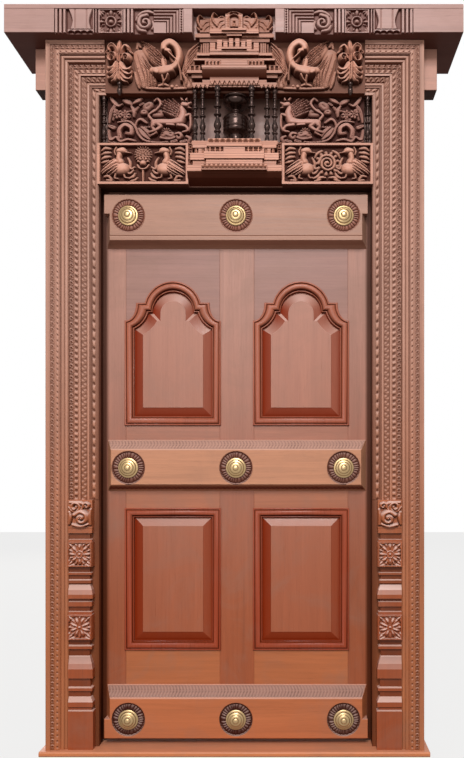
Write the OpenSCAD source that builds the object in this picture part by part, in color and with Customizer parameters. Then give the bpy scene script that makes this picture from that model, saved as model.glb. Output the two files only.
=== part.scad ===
// Carved temple door in its frame: one panelled leaf hung in a carved timber surround.
// X runs across the door, Y from the outside to the inside, Z up.
// Y = 0 is the front of the outer carved facing and Z = 0 the underside of the sill.

/* [Doorway] */
// Clear width between the carved facings
opening_w = 970; // [860:5:1100]
// Clear height from the sill to the soffit of the lintel
opening_h = 1988; // [1900:4:2200]
// Thickness of the sill board
sill_t = 18; // [12:1:40]
// How far the sill stands past the facing, in front and at both sides
sill_nose = 18; // [5:1:40]

/* [Frame] */
// Width of the carved facing round the doorway
facing_w = 179; // [170:1:230]
// Thickness of the carved facing
facing_t = 56; // [50:1:80]
// Depth of the whole frame from front to back
frame_d = 127; // [120:1:170]
// Depth of the rebate that the leaf shuts into
rebate = 13; // [8:1:20]
// Height of the carved lintel over the leaf
lintel_h = 144; // [130:1:190]
// Height of the beast panels over the lintel
beast_h = 179; // [170:1:230]
// Height of the head beam
beam_h = 148; // [100:1:170]
// How far the head beam's horns stand past the facing
horn = 55; // [20:1:120]
// Height of the turned pilaster foot, from the sill up
foot_h = 877; // [760:1:1000]

/* [Cornice] */
// Height of the cornice beam
cornice_h = 98; // [80:1:130]
// How far the cornice stands in front of the facing
cornice_out = 41; // [34:1:80]
// How far the cornice stands past the facing at each end
cornice_end = 128; // [70:1:220]
// Depth of the cornice from front to back
cornice_d = 260; // [180:1:320]
// Half width of the notch that holds the shrine's crown
notch_half = 143; // [140:1:160]

/* [Leaf] */
// Thickness of the leaf
leaf_t = 40; // [30:1:50]
// Gap between the leaf and the rebate
leaf_gap = 3; // [2:0.5:5]
// Gap under the leaf
floor_gap = 6; // [4:1:14]
// Width of each stile that shows between the facing and the panel
stile_show = 83; // [65:1:110]
// Width of the muntin between the panels
muntin_w = 124; // [100:1:160]
// Drop of the lower panels' top below the middle bosses
low_gap = 150; // [130:1:180]
// Height of the lower panels' foot over the sill
low_rise = 334; // [300:1:400]
// Height of the arched panels' foot over the middle bosses
arch_rise = 157; // [140:1:190]
// Drop of the arch's cusps below the soffit
arch_drop = 405; // [340:1:450]
// Radius of the arch's round head
arch_r = 101; // [80:1:115]
// Width of the moulding that holds each panel
bead_w = 33; // [26:1:40]
// Width of the bevel round each raised field
bevel_w = 28; // [20:1:36]

/* [Battens] */
// How far the battens stand out of the leaf
batten_t = 42; // [30:1:46]
// Clearance between the battens and the jambs
batten_gap = 15; // [10:1:25]
// Cut back of the battens' moulded ends
batten_cut = 20; // [10:1:30]
// Drop of the top row of bosses below the soffit
top_drop = 99; // [85:1:120]
// Height of the middle row of bosses as a share of the clear height
mid_share = 0.498; // [0.45:0.002:0.55]
// Height of the bottom row of bosses over the sill
low_lift = 92; // [80:1:110]
// Distance of the outer bosses from the middle of the leaf
boss_x = 384; // [300:1:386]
// Diameter of a brass boss
boss_d = 72; // [50:1:84]
// Height of a boss's knob over the batten
boss_h = 27; // [16:1:34]
// Diameter of the carved rosette ring round a boss
rosette_d = 118; // [100:1:121]
// Depth of a rosette's seat in the batten
rosette_t = 7; // [4:1:10]

/* [Hinges] */
// Height of each butt hinge
hinge_h = 100; // [76:1:150]
// Radius of a hinge pin
pin_r = 3; // [2.5:0.1:4]
// Radius of a hinge knuckle
knuckle_r = 6.5; // [5.5:0.1:6.8]
// Radial play of a pin in the leaf's knuckle
pin_play = 0.05; // [0.02:0.01:0.1]

/* [Hidden] */
$fn = 48;
eps = 0.3;
open_h2 = opening_w / 2;
out_h = open_h2 + facing_w;
z_sill = sill_t;
z_soffit = sill_t + opening_h;
z_lintel = z_soffit + lintel_h;
z_head = z_lintel + beast_h;
z_top = z_head + facing_w;
z_beam = z_top - beam_h;
z_crown = z_top + cornice_h;
stop_y = frame_d - leaf_t - 1;
leaf_f = frame_d - leaf_t;
leaf_b = frame_d;
reb_h = open_h2 + rebate;
leaf_h2 = reb_h - leaf_gap;
leaf_z0 = z_sill + floor_gap;
leaf_z1 = z_soffit + rebate - leaf_gap;
stile_in = open_h2 - stile_show;
mun_h = muntin_w / 2;
pan_c = (stile_in + mun_h) / 2;
pan_a = (stile_in - mun_h) / 2;
boss_top = z_soffit - top_drop;
boss_mid = z_sill + opening_h * mid_share;
boss_low = z_sill + low_lift;
low_top = boss_mid - low_gap;
low_bot = z_sill + low_rise;
arch_bot = boss_mid + arch_rise;
arch_cusp = z_soffit - arch_drop;
face_k = facing_w / 179;
wide_k = notch_half / 143;
plank_y = 18;
plank_h = open_h2 - 27 * face_k;
bracket_x = open_h2 - 80 * face_k;
carve_k = (bracket_x - 130 * wide_k) / 275;
bird_x = bracket_x - 159 * carve_k;
bat_f = leaf_f - batten_t;
bat_h = open_h2 - batten_gap;
pin_x = -(reb_h - leaf_gap / 2);
pin_y = leaf_b + 7;
shrine_h = 165 * wide_k;
lin_f = 40;
panel_y = 52;
foot_k = foot_h / 877;
z_foot = z_sill + foot_h;
teak = [0.68, 0.44, 0.31];
dark_teak = [0.45, 0.24, 0.15];
brass = [0.80, 0.66, 0.38];
lacquer = [0.10, 0.08, 0.07];
steel = [0.55, 0.53, 0.50];

// A block between two corners
module block(x0, x1, y0, y1, z0, z1) {
  translate([x0, y0, z0]) cube([x1 - x0, y1 - y0, z1 - z0]);
}

// A (y, z) outline drawn along X
module along_x(x0, x1) {
  translate([x0, 0, 0]) rotate([90, 0, 90]) linear_extrude(x1 - x0) children();
}

// An (x, z) outline drawn along Y
module along_y(y0, y1) {
  translate([0, y1, 0]) rotate([90, 0, 0]) linear_extrude(y1 - y0) children();
}

// The right-hand twin of a left-hand piece
module twin() {
  mirror([1, 0, 0]) children();
}

// One carved touch: a low button that faces the front
module touch(p) {
  translate([p[0], 0, p[1]]) rotate([90, 0, 0]) cylinder(r1 = p[2], r2 = p[2] * 0.5, h = p[3], $fn = 5);
}

// A carved stroke through a list of [x, z, radius, height] touches
module stroke(pts) {
  for (i = [0 : len(pts) - 2]) hull() {
    touch(pts[i]);
    touch(pts[i + 1]);
  }
}

// A ring of petals round a centre
module petals(x, z, r0, r1, w, h, n, a0, a1) {
  for (i = [0 : n - 1]) {
    a = a0 + (a1 - a0) * i / max(1, n - 1);
    hull() {
      touch([x + r0 * cos(a), z + r0 * sin(a), w * 0.45, h * 0.7]);
      touch([x + r1 * cos(a), z + r1 * sin(a), w, h]);
    }
  }
}

// A scroll that winds in from radius r over the given turn
module scroll(x, z, r, a0, turn, w, h, n) {
  stroke([for (i = [0 : n]) let (t = i / n, a = a0 + turn * t, q = r * (1 - 0.78 * t))
    [x + q * cos(a), z + q * sin(a), w * (1 - 0.35 * t), h]]);
}

// Exact eight-petalled flower in the (x, z) plane, its back on y
module flower(x, y, z, r, h) {
  translate([x, y, z]) rotate([90, 0, 0]) {
    for (a = [0 : 45 : 315]) rotate([0, 0, a]) translate([r * 0.64, 0, 0])
      cylinder(r = r * 0.27, h = h * 0.7);
    cylinder(r = r * 0.34, h = h);
  }
}

// Section of the carved facing, measured in from its outer edge
function facing_line() = [[0, facing_t], [0, 2], [2, 0], [17, 0], [17, 3], [50, 3], [51, 8], [54, 8],
  [56, 5], [61, 4], [65, 7], [66, 10], [68, 9], [73, 10], [77, 14], [78, 18], [112, 18], [112, 15],
  [119, 15], [120, 21], [138, 29], [140, 27], [146, 28], [147, 31], [154, 31], [154, 36],
  [168, 36], [168, 33], [177, 33], [179, 35], [179, facing_t]];
function facing_section() = [for (p = facing_line()) [p[0] * face_k, p[1]]];

// Side silhouette of the pilaster foot: height over the sill and how far it is cut in
function foot_line() = [[0, 0], [135, 0], [138, 8], [145, 8], [149, 2], [166, 2], [180, 8], [184, 12],
  [201, 12], [205, 4], [215, 4], [219, 12], [236, 12], [247, 13], [250, 2], [282, 2], [300, 6],
  [324, 14], [327, 16], [348, 16], [352, 6], [362, 6], [366, 14], [383, 14], [387, 3], [474, 3],
  [474, 6], [483, 6], [485, 14], [502, 14], [502, 6], [518, 6], [520, 14], [527, 14], [530, 2],
  [544, 2], [560, 6], [578, 14], [583, 10], [593, 10], [597, 15], [611, 15], [613, 7], [620, 7],
  [622, 14], [639, 14], [642, 3], [730, 3], [730, 6], [737, 6], [739, 14], [758, 14], [760, 5],
  [775, 5], [779, 4], [876, 4], [877, 4]];

// Half of the arched outline, inset by i, from the bottom corner to the crown
function arch_half(i) = let (rx = 43 + 1.4 * i, rz = 65 + i, ledge = arch_cusp - i, r = arch_r - 0.9 * i,
  zh = arch_cusp - 24 - 0.18 * i, dz = ledge - zh, t0 = acos(i / rx), t1 = asin(i / rz),
  a0 = dz > 0 ? asin(dz / r) : 0, a1 = dz > 0 ? a0 + (90 - a0) / 7 : 0)
  concat([[pan_a - i, arch_bot + i]],
    [for (k = [0 : 4]) let (t = t0 + (t1 - t0) * k / 4) [pan_a - rx * cos(t), arch_cusp - rz * sin(t)]],
    [[r * cos(a0), dz > 0 ? zh + r * sin(a0) : ledge]],
    [for (k = [0 : 6]) let (t = a1 + (90 - a1) * k / 6) [r * cos(t), zh + r * sin(t)]]);
function flip(h) = [for (k = [len(h) - 2 : -1 : 0]) [-h[k][0], h[k][1]]];
function arch_line(i) = let (h = arch_half(i)) concat(h, flip(h));
function low_line(i) = [[pan_a - i, low_bot + i], [pan_a - i, low_top - i],
  [-pan_a + i, low_top - i], [-pan_a + i, low_bot + i]];
function line_of(kind, i) = kind == "arch" ? arch_line(i) : low_line(i);

// A moulding ring: the outline at each [inset, y] of a closed section
module ring(kind, sec) {
  n = len(line_of(kind, 0));
  m = len(sec);
  pts = [for (s = sec) for (p = line_of(kind, s[0])) [p[0], s[1], p[1]]];
  polyhedron(pts, [for (j = [0 : m - 1]) for (k = [0 : n - 1])
    let (a = j * n + k, b = j * n + (k + 1) % n)
    let (c = ((j + 1) % m) * n + (k + 1) % n, d = ((j + 1) % m) * n + k)
    for (f = [[a, b, c], [a, c, d]]) f]);
}

// A fielded panel: the outline at each [inset, y], closed by a fan at back and front
module field(kind, sec) {
  n = len(line_of(kind, 0));
  m = len(sec);
  zc = kind == "arch" ? (arch_bot + arch_cusp) / 2 : (low_bot + low_top) / 2;
  pts = concat([for (s = sec) for (p = line_of(kind, s[0])) [p[0], s[1], p[1]]],
    [[0, sec[0][1], zc], [0, sec[m - 1][1], zc]]);
  polyhedron(pts, concat([for (j = [0 : m - 2]) for (k = [0 : n - 1])
    let (a = j * n + k, b = j * n + (k + 1) % n, c = (j + 1) * n + (k + 1) % n, d = (j + 1) * n + k)
    for (f = [[a, b, c], [a, c, d]]) f],
    [for (k = [0 : n - 1]) [(k + 1) % n, k, m * n]],
    [for (k = [0 : n - 1]) [(m - 1) * n + k, (m - 1) * n + (k + 1) % n, m * n + 1]]));
}

// The sill, run back under the whole frame
module sill() {
  color(teak) along_x(-out_h - sill_nose, out_h + sill_nose)
    polygon([[-sill_nose, 3], [-sill_nose, sill_t - 4], [-sill_nose + 4, sill_t], [frame_d, sill_t],
      [frame_d, 0], [-sill_nose + 3, 0]]);
}

// A post behind the facing, rebated for the leaf
module left_post() {
  color(teak) difference() {
    block(-out_h, -open_h2, facing_t, frame_d, z_sill, z_beam);
    block(-reb_h, -open_h2 + 1, stop_y, frame_d + 1, z_sill - 1, z_soffit + rebate);
  }
}
module right_post() {
  twin() left_post();
}

// The head beam over the posts, with a horn at each end
module head_beam() {
  color(teak) block(-out_h - horn, out_h + horn, facing_t, frame_d, z_beam, z_top);
}

// The lintel over the leaf, rebated underneath
module lintel() {
  color(teak) difference() {
    block(-open_h2, open_h2, lin_f, frame_d, z_soffit, z_lintel);
    block(-open_h2 - 1, open_h2 + 1, stop_y, frame_d + 1, z_soffit - 1, z_soffit + rebate);
  }
}

// The board that closes the transom behind the carved panels
module transom_board() {
  color(dark_teak) block(-open_h2, open_h2, 96, frame_d, z_lintel, z_beam);
}

// The cornice beam: notched for the crown, its face carved like a pilaster laid on its side
module cornice() {
  yf = -cornice_out;
  zb = z_top;
  zt = z_crown - 17;
  xo = out_h - 45;
  color(teak) difference() {
    block(-out_h - cornice_end, out_h + cornice_end, yf, cornice_d - cornice_out, zb, z_crown);
    block(-notch_half, notch_half, yf - 1, 4, zb - 1, z_crown - 16);
    for (s = [0, 1]) mirror([s, 0, 0]) cornice_cuts(yf, zb, zt, xo);
  }
  color(teak) for (s = [0, 1]) mirror([s, 0, 0]) cornice_marks(yf, zb, zt, xo);
}
module cornice_cuts(yf, zb, zt, xo) {
  block(xo - 45, xo, yf - 1, yf + 9, zb - 1, zt);
  block(xo - 149, xo - 50, yf - 1, yf + 12, zb - 1, zt);
  block(xo - 232, xo - 152, yf - 1, yf + 6, zb - 1, zt);
  block(xo - 445, xo - 235, yf - 1, yf + 14, zb - 1, zt);
}
module cornice_marks(yf, zb, zt, xo) {
  for (x = [xo - 37, xo - 24, xo - 11]) block(x - 4, x + 4, yf + 2, yf + 9, zb, zt);
  for (i = [0 : 4]) translate([xo - 60 - i * 17, yf + 12, zb + 16]) cylinder(r = 7.5, h = zt - zb - 16);
  block(xo - 149, xo - 50, yf + 6, yf + 12, zb, zb + 12);
  for (x = [xo - 141, xo - 133]) block(x - 2, x + 2, yf + 2, yf + 12, zb, zt);
  flower(xo - 192, yf + 6, (zb + zt) / 2, 31, 8);
  for (x = [xo - 242, xo - 256, xo - 272]) block(x - 4, x + 4, yf + 3, yf + 14, zb, zt);
  translate([xo - 312, yf + 14, (zb + zt) / 2]) rotate([90, 0, 0]) rotate_extrude()
    translate([24, 0]) square([8, 9]);
  translate([xo - 312, yf + 14, (zb + zt) / 2]) rotate([90, 0, 0]) cylinder(r = 12, h = 10);
  for (i = [0 : 3])
    block(xo - 441 + i * 9, xo - 352 - i * 9, yf + 11 - i * 3, yf + 14, zb + i * 7, zt - i * 9);
}

// A carved facing: the moulded strip down one side of the doorway
module left_facing() {
  color(teak) intersection() {
    union() {
      translate([-out_h, 0, z_foot]) linear_extrude(z_top - z_foot) polygon(facing_section());
      translate([-out_h, 0, z_sill]) linear_extrude(z_foot - z_sill)
        polygon(concat([for (i = [0 : 15]) facing_section()[i]],
          [[78 * face_k, 36], [facing_w, 36], [facing_w, facing_t]]));
    }
    along_y(-1, facing_t + 1) polygon([[-out_h - 1, z_sill], [-open_h2, z_sill], [-open_h2, z_head],
      [-out_h, z_top], [-out_h - 1, z_top]]);
  }
}
module right_facing() {
  twin() left_facing();
}

// The moulded facing over the doorway, plain between its corners
module head_facing() {
  color(teak) intersection() {
    union() {
      for (s = [0, 1]) mirror([s, 0, 0]) along_x(plank_h - 1, out_h)
        polygon([for (p = facing_section()) [p[1], z_top - p[0]]]);
      block(-plank_h, plank_h, plank_y, facing_t, z_head, z_top);
    }
    along_y(-1, facing_t + 1)
      polygon([[-out_h, z_top], [-open_h2, z_head], [open_h2, z_head], [out_h, z_top]]);
  }
}

// The turned pilaster foot of a jamb, with two flower blocks and a scroll block
module left_foot() {
  x0 = -out_h + 78 * face_k;
  x1 = -out_h + 166 * face_k;
  y0 = 4;
  prof = [for (p = foot_line()) [p[1], z_sill + p[0] * foot_k]];
  color(teak) {
    intersection() {
      along_x(x0, x1) polygon(concat([for (p = prof) [y0 + p[0], p[1]]], [[36, z_foot], [36, z_sill]]));
      along_y(y0 - 1, 36) polygon(concat([for (p = prof) [x1 - p[0], p[1]]], [[x0, z_foot],
        [x0, z_sill]]));
    }
    for (z = [430, 686]) flower((x0 + x1) / 2 - 2, y0 + 3, z_sill + z * foot_k, 34, 8);
    for (s = [[-20, 852, 16], [20, 804, 16]])
      translate([(x0 + x1) / 2 - 3 + s[0], y0 + 4, z_sill + s[1] * foot_k])
      rotate([90, 0, 0]) rotate_extrude() translate([s[2] - 6, 0]) square([7, 7]);
  }
}
module right_foot() {
  twin() left_foot();
}

// A leafy bracket over each corner of the transom
module left_leaf_bracket() {
  color(teak) translate([-bracket_x, plank_y, z_top - 76 * face_k]) scale([carve_k, 1, face_k]) {
    for (s = [0, 1]) mirror([s, 0, 0]) {
      stroke([[10, 27, 10, 22], [20, 46, 9, 28], [32, 45, 7, 26]]);
      stroke([[20, 13, 18, 26], [24, 13, 18, 26]]);
      stroke([[7, -10, 11, 24], [18, -30, 11, 28], [38, -29, 6, 22]]);
      stroke([[8, -33, 9, 26], [26, -48, 9, 28], [41, -44, 5, 20]]);
      stroke([[8, -46, 8, 24], [24, -62, 8, 25], [38, -60, 5, 18]]);
    }
    stroke([[0, 28, 11, 24], [0, 51, 12, 30], [2, 67, 8, 20]]);
    stroke([[0, -12, 8, 28], [0, -47, 9, 32], [0, -67, 6, 22]]);
    block(-15, 15, -26, 0, -74, -52);
  }
}
module right_leaf_bracket() {
  twin() left_leaf_bracket();
}

// A long-tailed bird with a flower stem in its beak
module left_bird() {
  color(teak) translate([-bird_x, plank_y, z_head + 92 * face_k]) scale([carve_k, 1, face_k]) {
    stroke([[-28, -37, 22, 30], [-3, -38, 23, 34], [23, -30, 19, 34]]);
    stroke([[17, -25, 17, 32], [39, -12, 15, 34], [53, 19, 14, 36], [42, 55, 15, 38], [13, 64, 15, 38],
      [-1, 49, 16, 36], [5, 37, 11, 30]]);
    stroke([[18, 28, 11, 28], [34, 4, 4, 28], [56, -30, 4, 24], [57, -50, 5, 18]]);
    stroke([[0, 14, 10, 24], [-27, 45, 9, 24], [-79, 82, 4, 12]]);
    stroke([[3, -2, 10, 25], [-34, 28, 9, 24], [-72, 66, 4, 12]]);
    stroke([[3, -16, 9, 25], [-34, 4, 8, 24], [-59, 33, 4, 12]]);
    stroke([[-26, -19, 9, 22], [-63, 7, 7, 18], [-81, 33, 4, 12]]);
    stroke([[-95, 16, 5, 13], [-75, -52, 9, 17], [-69, -75, 6, 12]]);
    stroke([[-58, -18, 8, 20], [-44, -38, 9, 20], [-46, -74, 6, 13]]);
    stroke([[73, 7, 9, 22], [92, 45, 8, 21], [114, 77, 4, 12]]);
    stroke([[70, -9, 9, 23], [90, 24, 8, 22], [114, 59, 4, 12]]);
    stroke([[72, -21, 8, 22], [92, 16, 7, 21], [109, 43, 4, 12]]);
    stroke([[64, -32, 8, 20], [77, -56, 8, 18], [73, -77, 5, 12]]);
    stroke([[0, -56, 8, 24], [-3, -68, 6, 18], [11, -72, 6, 14]]);
    stroke([[-65, -79, 6, 12], [1, -81, 6, 12], [71, -79, 6, 12]]);
  }
}
module right_bird() {
  twin() left_bird();
}

// A stepped tier of the shrine: a broad bay with a narrower bay in front of it
module tier(h2, h1, yb, d2, d1, z0, z1) {
  block(-h2, h2, yb - d2, yb, z0, z1);
  block(-h1, h1, yb - d1, yb, z0, z1);
}

// The shrine's canopy: stepped roofs, two rows of niches and a hanging fringe.
// Each slab is [half width, depth, bottom, top] in front of the plank.
function slabs() = [[150, 26, 8, 14], [112, 30, 14, 31], [85, 36, 31, 38], [150, 26, 40, 52],
  [165, 36, 52, 61], [112, 48, 63, 73], [103, 34, 73, 97], [45, 39, 73, 97], [150, 12, 83, 97],
  [141, 34, 97, 104], [98, 26, 104, 109], [85, 46, 109, 118], [131, 34, 114, 123], [78, 30, 118, 124],
  [85, 40, 124, 131], [44, 48, 129, 136], [118, 16, 123, 170], [122, 24, 166, 179]];
function shafts() = [[11, 14, 40, 136, 170], [31, 14, 34, 131, 163], [51.5, 17, 38, 131, 166],
  [76, 18, 32, 131, 160], [93, 5, 28, 123, 160], [100, 5, 28, 123, 160], [107, 5, 28, 123, 160],
  [116, 4, 24, 123, 158], [49, 4, 38, 73, 97], [62, 5, 38, 73, 97], [74, 5, 38, 73, 97],
  [86, 5, 38, 73, 97], [100, 5, 38, 73, 97], [139, 38, 22, 61, 83], [123, 6, 27, 61, 83],
  [139, 6, 27, 61, 83], [155, 6, 27, 61, 83]];
function teeth(x0, x1, n, z0, z1) = concat([[x1, z1], [x0, z1]], [for (i = [0 : 2 * n])
  [x0 + (x1 - x0) * i / (2 * n), i % 2 == 0 ? z1 - 6 : z0]]);
module shrine_canopy() {
  z = z_head;
  y = plank_y;
  w = wide_k;
  k = face_k;
  color(teak) {
    for (s = slabs()) block(-s[0] * w, s[0] * w, y - s[1], y, z + s[2] * k, z + s[3] * k);
    for (s = shafts()) for (m = [-1, 1])
      block((m * s[0] - s[1] / 2) * w, (m * s[0] + s[1] / 2) * w, y - s[2],
        y, z + s[3] * k, z + s[4] * k);
    for (m = [-1, 1]) block((m * 74.5 - 27) * w, (m * 74.5 + 27) * w, y - 38, y, z + 91 * k, z + 97 * k);
    along_x(-112 * w, 112 * w) polygon([[y, z + 38 * k], [y - 30, z + 38 * k], [y - 46, z + 60 * k],
      [y - 46, z + 63 * k], [y, z + 63 * k]]);
    along_y(y - 36, y - 30) polygon([for (p = teeth(-85, 85, 10, 10, 33)) [p[0] * w, z + p[1] * k]]);
    for (m = [0, 1]) mirror([m, 0, 0]) along_y(y - 31, y - 26)
      polygon([for (p = teeth(87, 148, 4, 1, 21)) [p[0] * w, z + p[1] * k]]);
    block(-137 * w, 137 * w, y - 30, 4, z_top, z + 191 * k);
    block(-130 * w, 130 * w, y - 24, 4, z + 191 * k, z + 198 * k);
    block(-85 * w, 85 * w, y - 44, 4, z + 185 * k, z + 198 * k);
    block(-43 * w, 43 * w, y - 52, 4, z + 191 * k, z + 198 * k);
    block(-26 * w, 26 * w, y - 40, 4, z_top, z + 191 * k);
  }
}

// The leafy crown in the cornice's notch: stepped flats with hooked leaves and a plain niche
module shrine_crown() {
  color(teak) translate([0, 4, z_head + 198 * face_k]) scale([wide_k, 1, 1]) {
    difference() {
      union() {
        block(-122, 122, -14, 0, 0, 44);
        block(-84, 84, -24, 0, 0, 44);
        block(-30, 30, -34, 0, 0, 52);
      }
      block(-15, 15, -35, -26, 8, 32);
      translate([0, -26, 32]) rotate([90, 0, 0]) cylinder(r = 15, h = 9, $fn = 16);
    }
    for (s = [-1, 1]) {
      stroke([[s * 60, 16, 7, 30], [s * 76, 40, 6, 31], [s * 70, 56, 5, 31], [s * 59, 52, 4, 28]]);
      stroke([[s * 116, 14, 7, 20], [s * 128, 36, 6, 21], [s * 122, 54, 5, 21], [s * 111, 50, 4, 18]]);
      stroke([[s * 76, 12, 6, 26], [s * 84, 24, 4, 24]]);
      stroke([[s * 124, 10, 6, 16], [s * 133, 22, 4, 14]]);
      stroke([[s * 88, 44, 6, 14], [s * 106, 46, 5, 14]]);
      stroke([[s * 34, 44, 6, 24], [s * 54, 46, 5, 24]]);
    }
    stroke([[-18, 52, 5, 34], [0, 55, 6, 36], [18, 52, 5, 34]]);
    translate([0, -26, 24]) rotate([90, 0, 0]) cylinder(r = 10, h = 6, $fn = 16);
    block(-8, 8, -32, -26, 8, 18);
  }
}

// The shrine's stepped base on the lintel, over a sloped soffit
module shrine_base() {
  z = z_lintel;
  y = lin_f;
  color(teak) {
    tier(150, 92, y, 48, 62, z - 14, z);
    tier(146, 96, y, 54, 66, z - 28, z - 14);
    tier(140, 92, y, 46, 58, z - 46, z - 28);
    for (x = [-120, -98, -70, -42, -14, 14, 42, 70, 98, 120])
      block(x - 6, x + 6, y - 58 + abs(x) * 0.06, y, z - 50, z - 28);
    tier(154, 104, y, 56, 68, z - 70, z - 46);
    tier(146, 98, y, 50, 62, z - 88, z - 70);
    tier(shrine_h, 114, y, 58, 70, z - 110, z - 88);
    along_x(-shrine_h, shrine_h)
      polygon([[y, z - 110], [y - 58, z - 110], [y - 40, z - 126], [y, z - lintel_h + 2]]);
    for (s = [-1, 1]) block(s * 156 - 8, s * 156 + 8, y - 34, y, z - 110, z);
  }
}

// A beast with a raised wing before a flowering vine
module left_beast_panel() {
  x0 = -open_h2 + 27 * face_k;
  x1 = -156 * wide_k;
  color(teak) {
    block(x0, x1, panel_y, 96, z_lintel, z_head);
    translate([(x0 + x1) / 2, panel_y, (z_lintel + z_head) / 2])
      scale([(x1 - x0) / 302, 1, beast_h / 179]) {
      stroke([[19, -5, 15, 22], [63, -4, 13, 23], [111, 0, 16, 24]]);
      stroke([[111, 2, 16, 24], [119, 28, 14, 25], [123, 57, 13, 26], [144, 61, 5, 18]]);
      stroke([[132, 48, 6, 20], [145, 49, 4, 16]]);
      stroke([[33, -9, 12, 22], [38, -18, 9, 20], [22, -31, 7, 18], [-2, -37, 5, 14]]);
      stroke([[16, -10, 12, 20], [24, -38, 6, 15], [7, -46, 4, 12]]);
      stroke([[103, -13, 10, 22], [128, -19, 7, 20], [136, -33, 6, 18], [120, -36, 4, 14]]);
      stroke([[115, 11, 8, 22], [144, 15, 5, 18], [144, -16, 5, 16], [137, -36, 4, 12]]);
      stroke([[101, 29, 8, 26], [72, 50, 8, 25], [46, 70, 4, 16]]);
      stroke([[108, 44, 8, 26], [91, 58, 7, 24], [74, 76, 4, 16]]);
      stroke([[99, 18, 8, 25], [67, 32, 8, 24], [44, 50, 4, 16]]);
      stroke([[8, 8, 6, 16], [-1, 24, 5, 15], [39, 63, 5, 16], [28, 80, 5, 14]]);
      stroke([[-110, 0, 4, 13], [-74, 2, 5, 14], [-44, -32, 5, 15], [-18, -65, 5, 14], [61, -72, 4, 12]]);
      stroke([[-105, -54, 9, 15], [-106, -28, 10, 17], [-88, -13, 10, 18], [-66, -23, 9, 18],
        [-66, -42, 8, 16], [-82, -40, 6, 14]]);
      stroke([[-144, -32, 5, 11], [-138, -60, 7, 13], [-104, -64, 6, 13], [-55, -64, 5, 12]]);
      stroke([[-139, 83, 5, 12], [-118, 61, 7, 14], [-143, 18, 6, 12], [-145, -2, 4, 11]]);
      stroke([[-91, 72, 8, 12], [-71, 64, 8, 12]]);
      stroke([[-55, 70, 6, 12], [-33, 80, 6, 12]]);
      stroke([[-9, 54, 17, 12], [-21, 36, 12, 12]]);
      stroke([[-65, 54, 4, 11], [-55, 39, 8, 14], [-57, 22, 5, 12]]);
      stroke([[52, -44, 15, 13], [80, -48, 12, 13]]);
      stroke([[102, -49, 13, 14], [129, -64, 6, 12]]);
      stroke([[-32, 9, 7, 14], [-13, -2, 6, 12]]);
      stroke([[-39, -26, 6, 12], [-22, -44, 10, 13], [-3, -60, 5, 11]]);
      petals(-116, 27, 6, 15, 7, 14, 5, 0, 288);
      petals(-88, 25, 5, 13, 6, 14, 5, 20, 308);
    }
  }
}
module right_beast_panel() {
  twin() left_beast_panel();
}

// A pair of ducks about a lotus, in a moulded frame
module left_duck_panel() {
  x0 = -open_h2;
  x1 = -shrine_h;
  zc = (z_soffit + z_lintel) / 2;
  hx = (x1 - x0) / 2;
  hz = lintel_h / 2;
  color(teak) {
    block(x0, x1, 24, lin_f, z_soffit, z_lintel);
    for (z = [z_soffit, z_lintel - 9]) block(x0, x1, 8, 24, z, z + 9);
    block(x0, x0 + 9, 8, 24, z_soffit, z_lintel);
    block(x1 - 9, x1, 8, 24, z_soffit, z_lintel);
    translate([(x0 + x1) / 2, 24, zc]) scale([(x1 - x0) / 320, 1, lintel_h / 144]) {
      for (s = [0, 1]) mirror([s, 0, 0]) {
        stroke([[-90, -14, 22, 15], [-72, -15, 25, 17]]);
        stroke([[-80, 10, 15, 15], [-85, 22, 11, 15], [-76, 46, 16, 17]]);
        stroke([[-60, 40, 6, 13], [-44, 39, 4, 9]]);
        stroke([[-94, 2, 14, 19], [-120, -14, 11, 18], [-145, -31, 5, 10]]);
        stroke([[-95, -32, 5, 10], [-100, -49, 4, 8]]);
        stroke([[-66, -34, 5, 10], [-60, -49, 4, 8]]);
        stroke([[-34, -42, 8, 9], [-48, -16, 6, 9]]);
        stroke([[-132, 44, 14, 9], [-134, 21, 10, 8]]);
        stroke([[-12, -48, 6, 9], [-36, -44, 8, 9]]);
      }
      stroke([[-8, 32, 26, 9], [8, 32, 26, 9]]);
      stroke([[0, 3, 12, 14], [0, 1, 12, 14]]);
      stroke([[-18, -10, 4, 11], [0, -19, 5, 13], [18, -10, 4, 11]]);
      stroke([[0, -57, 5, 9], [0, -19, 5, 11]]);
    }
  }
}
module right_duck_panel() {
  twin() left_duck_panel();
}

// A black turned colonnette of height h and greatest radius r
module turned(h, r) {
  rotate_extrude() polygon([[0, 0], [r * 0.92, 0], [r * 0.55, h * 0.13], [r * 0.95, h * 0.16],
    [r * 0.5, h * 0.2], [r, h * 0.284], [r * 0.45, h * 0.44], [r, h * 0.47], [r, h * 0.5],
    [r * 0.5, h * 0.53], [r * 0.45, h * 0.6], [r, h * 0.62], [r * 0.95, h * 0.65], [r * 0.6, h * 0.68],
    [r * 0.4, h * 0.79], [r * 0.75, h * 0.82], [r * 0.5, h * 0.9], [r * 0.85, h * 0.93], [r * 0.8, h],
    [0, h]]);
}
module colonnette(x, y, z1, r) {
  color(lacquer) translate([x, y, z_lintel]) turned(z1 - z_lintel, r);
}
module left_inner_colonnette() {
  colonnette(-59.5 * wide_k, -8, z_head + 8 * face_k, 13);
}
module right_inner_colonnette() {
  colonnette(59.5 * wide_k, -8, z_head + 8 * face_k, 13);
}
module left_mid_colonnette() {
  colonnette(-113 * wide_k, 4, z_head + 8 * face_k, 10.5);
}
module right_mid_colonnette() {
  colonnette(113 * wide_k, 4, z_head + 8 * face_k, 10.5);
}
module left_outer_colonnette() {
  colonnette(-140 * wide_k, 6, z_head + 8 * face_k, 10.5);
}
module right_outer_colonnette() {
  colonnette(140 * wide_k, 6, z_head + 8 * face_k, 10.5);
}
module left_end_colonnette() {
  colonnette(-open_h2 + 16 * face_k, 43, z_head, 9.5);
}
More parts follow.
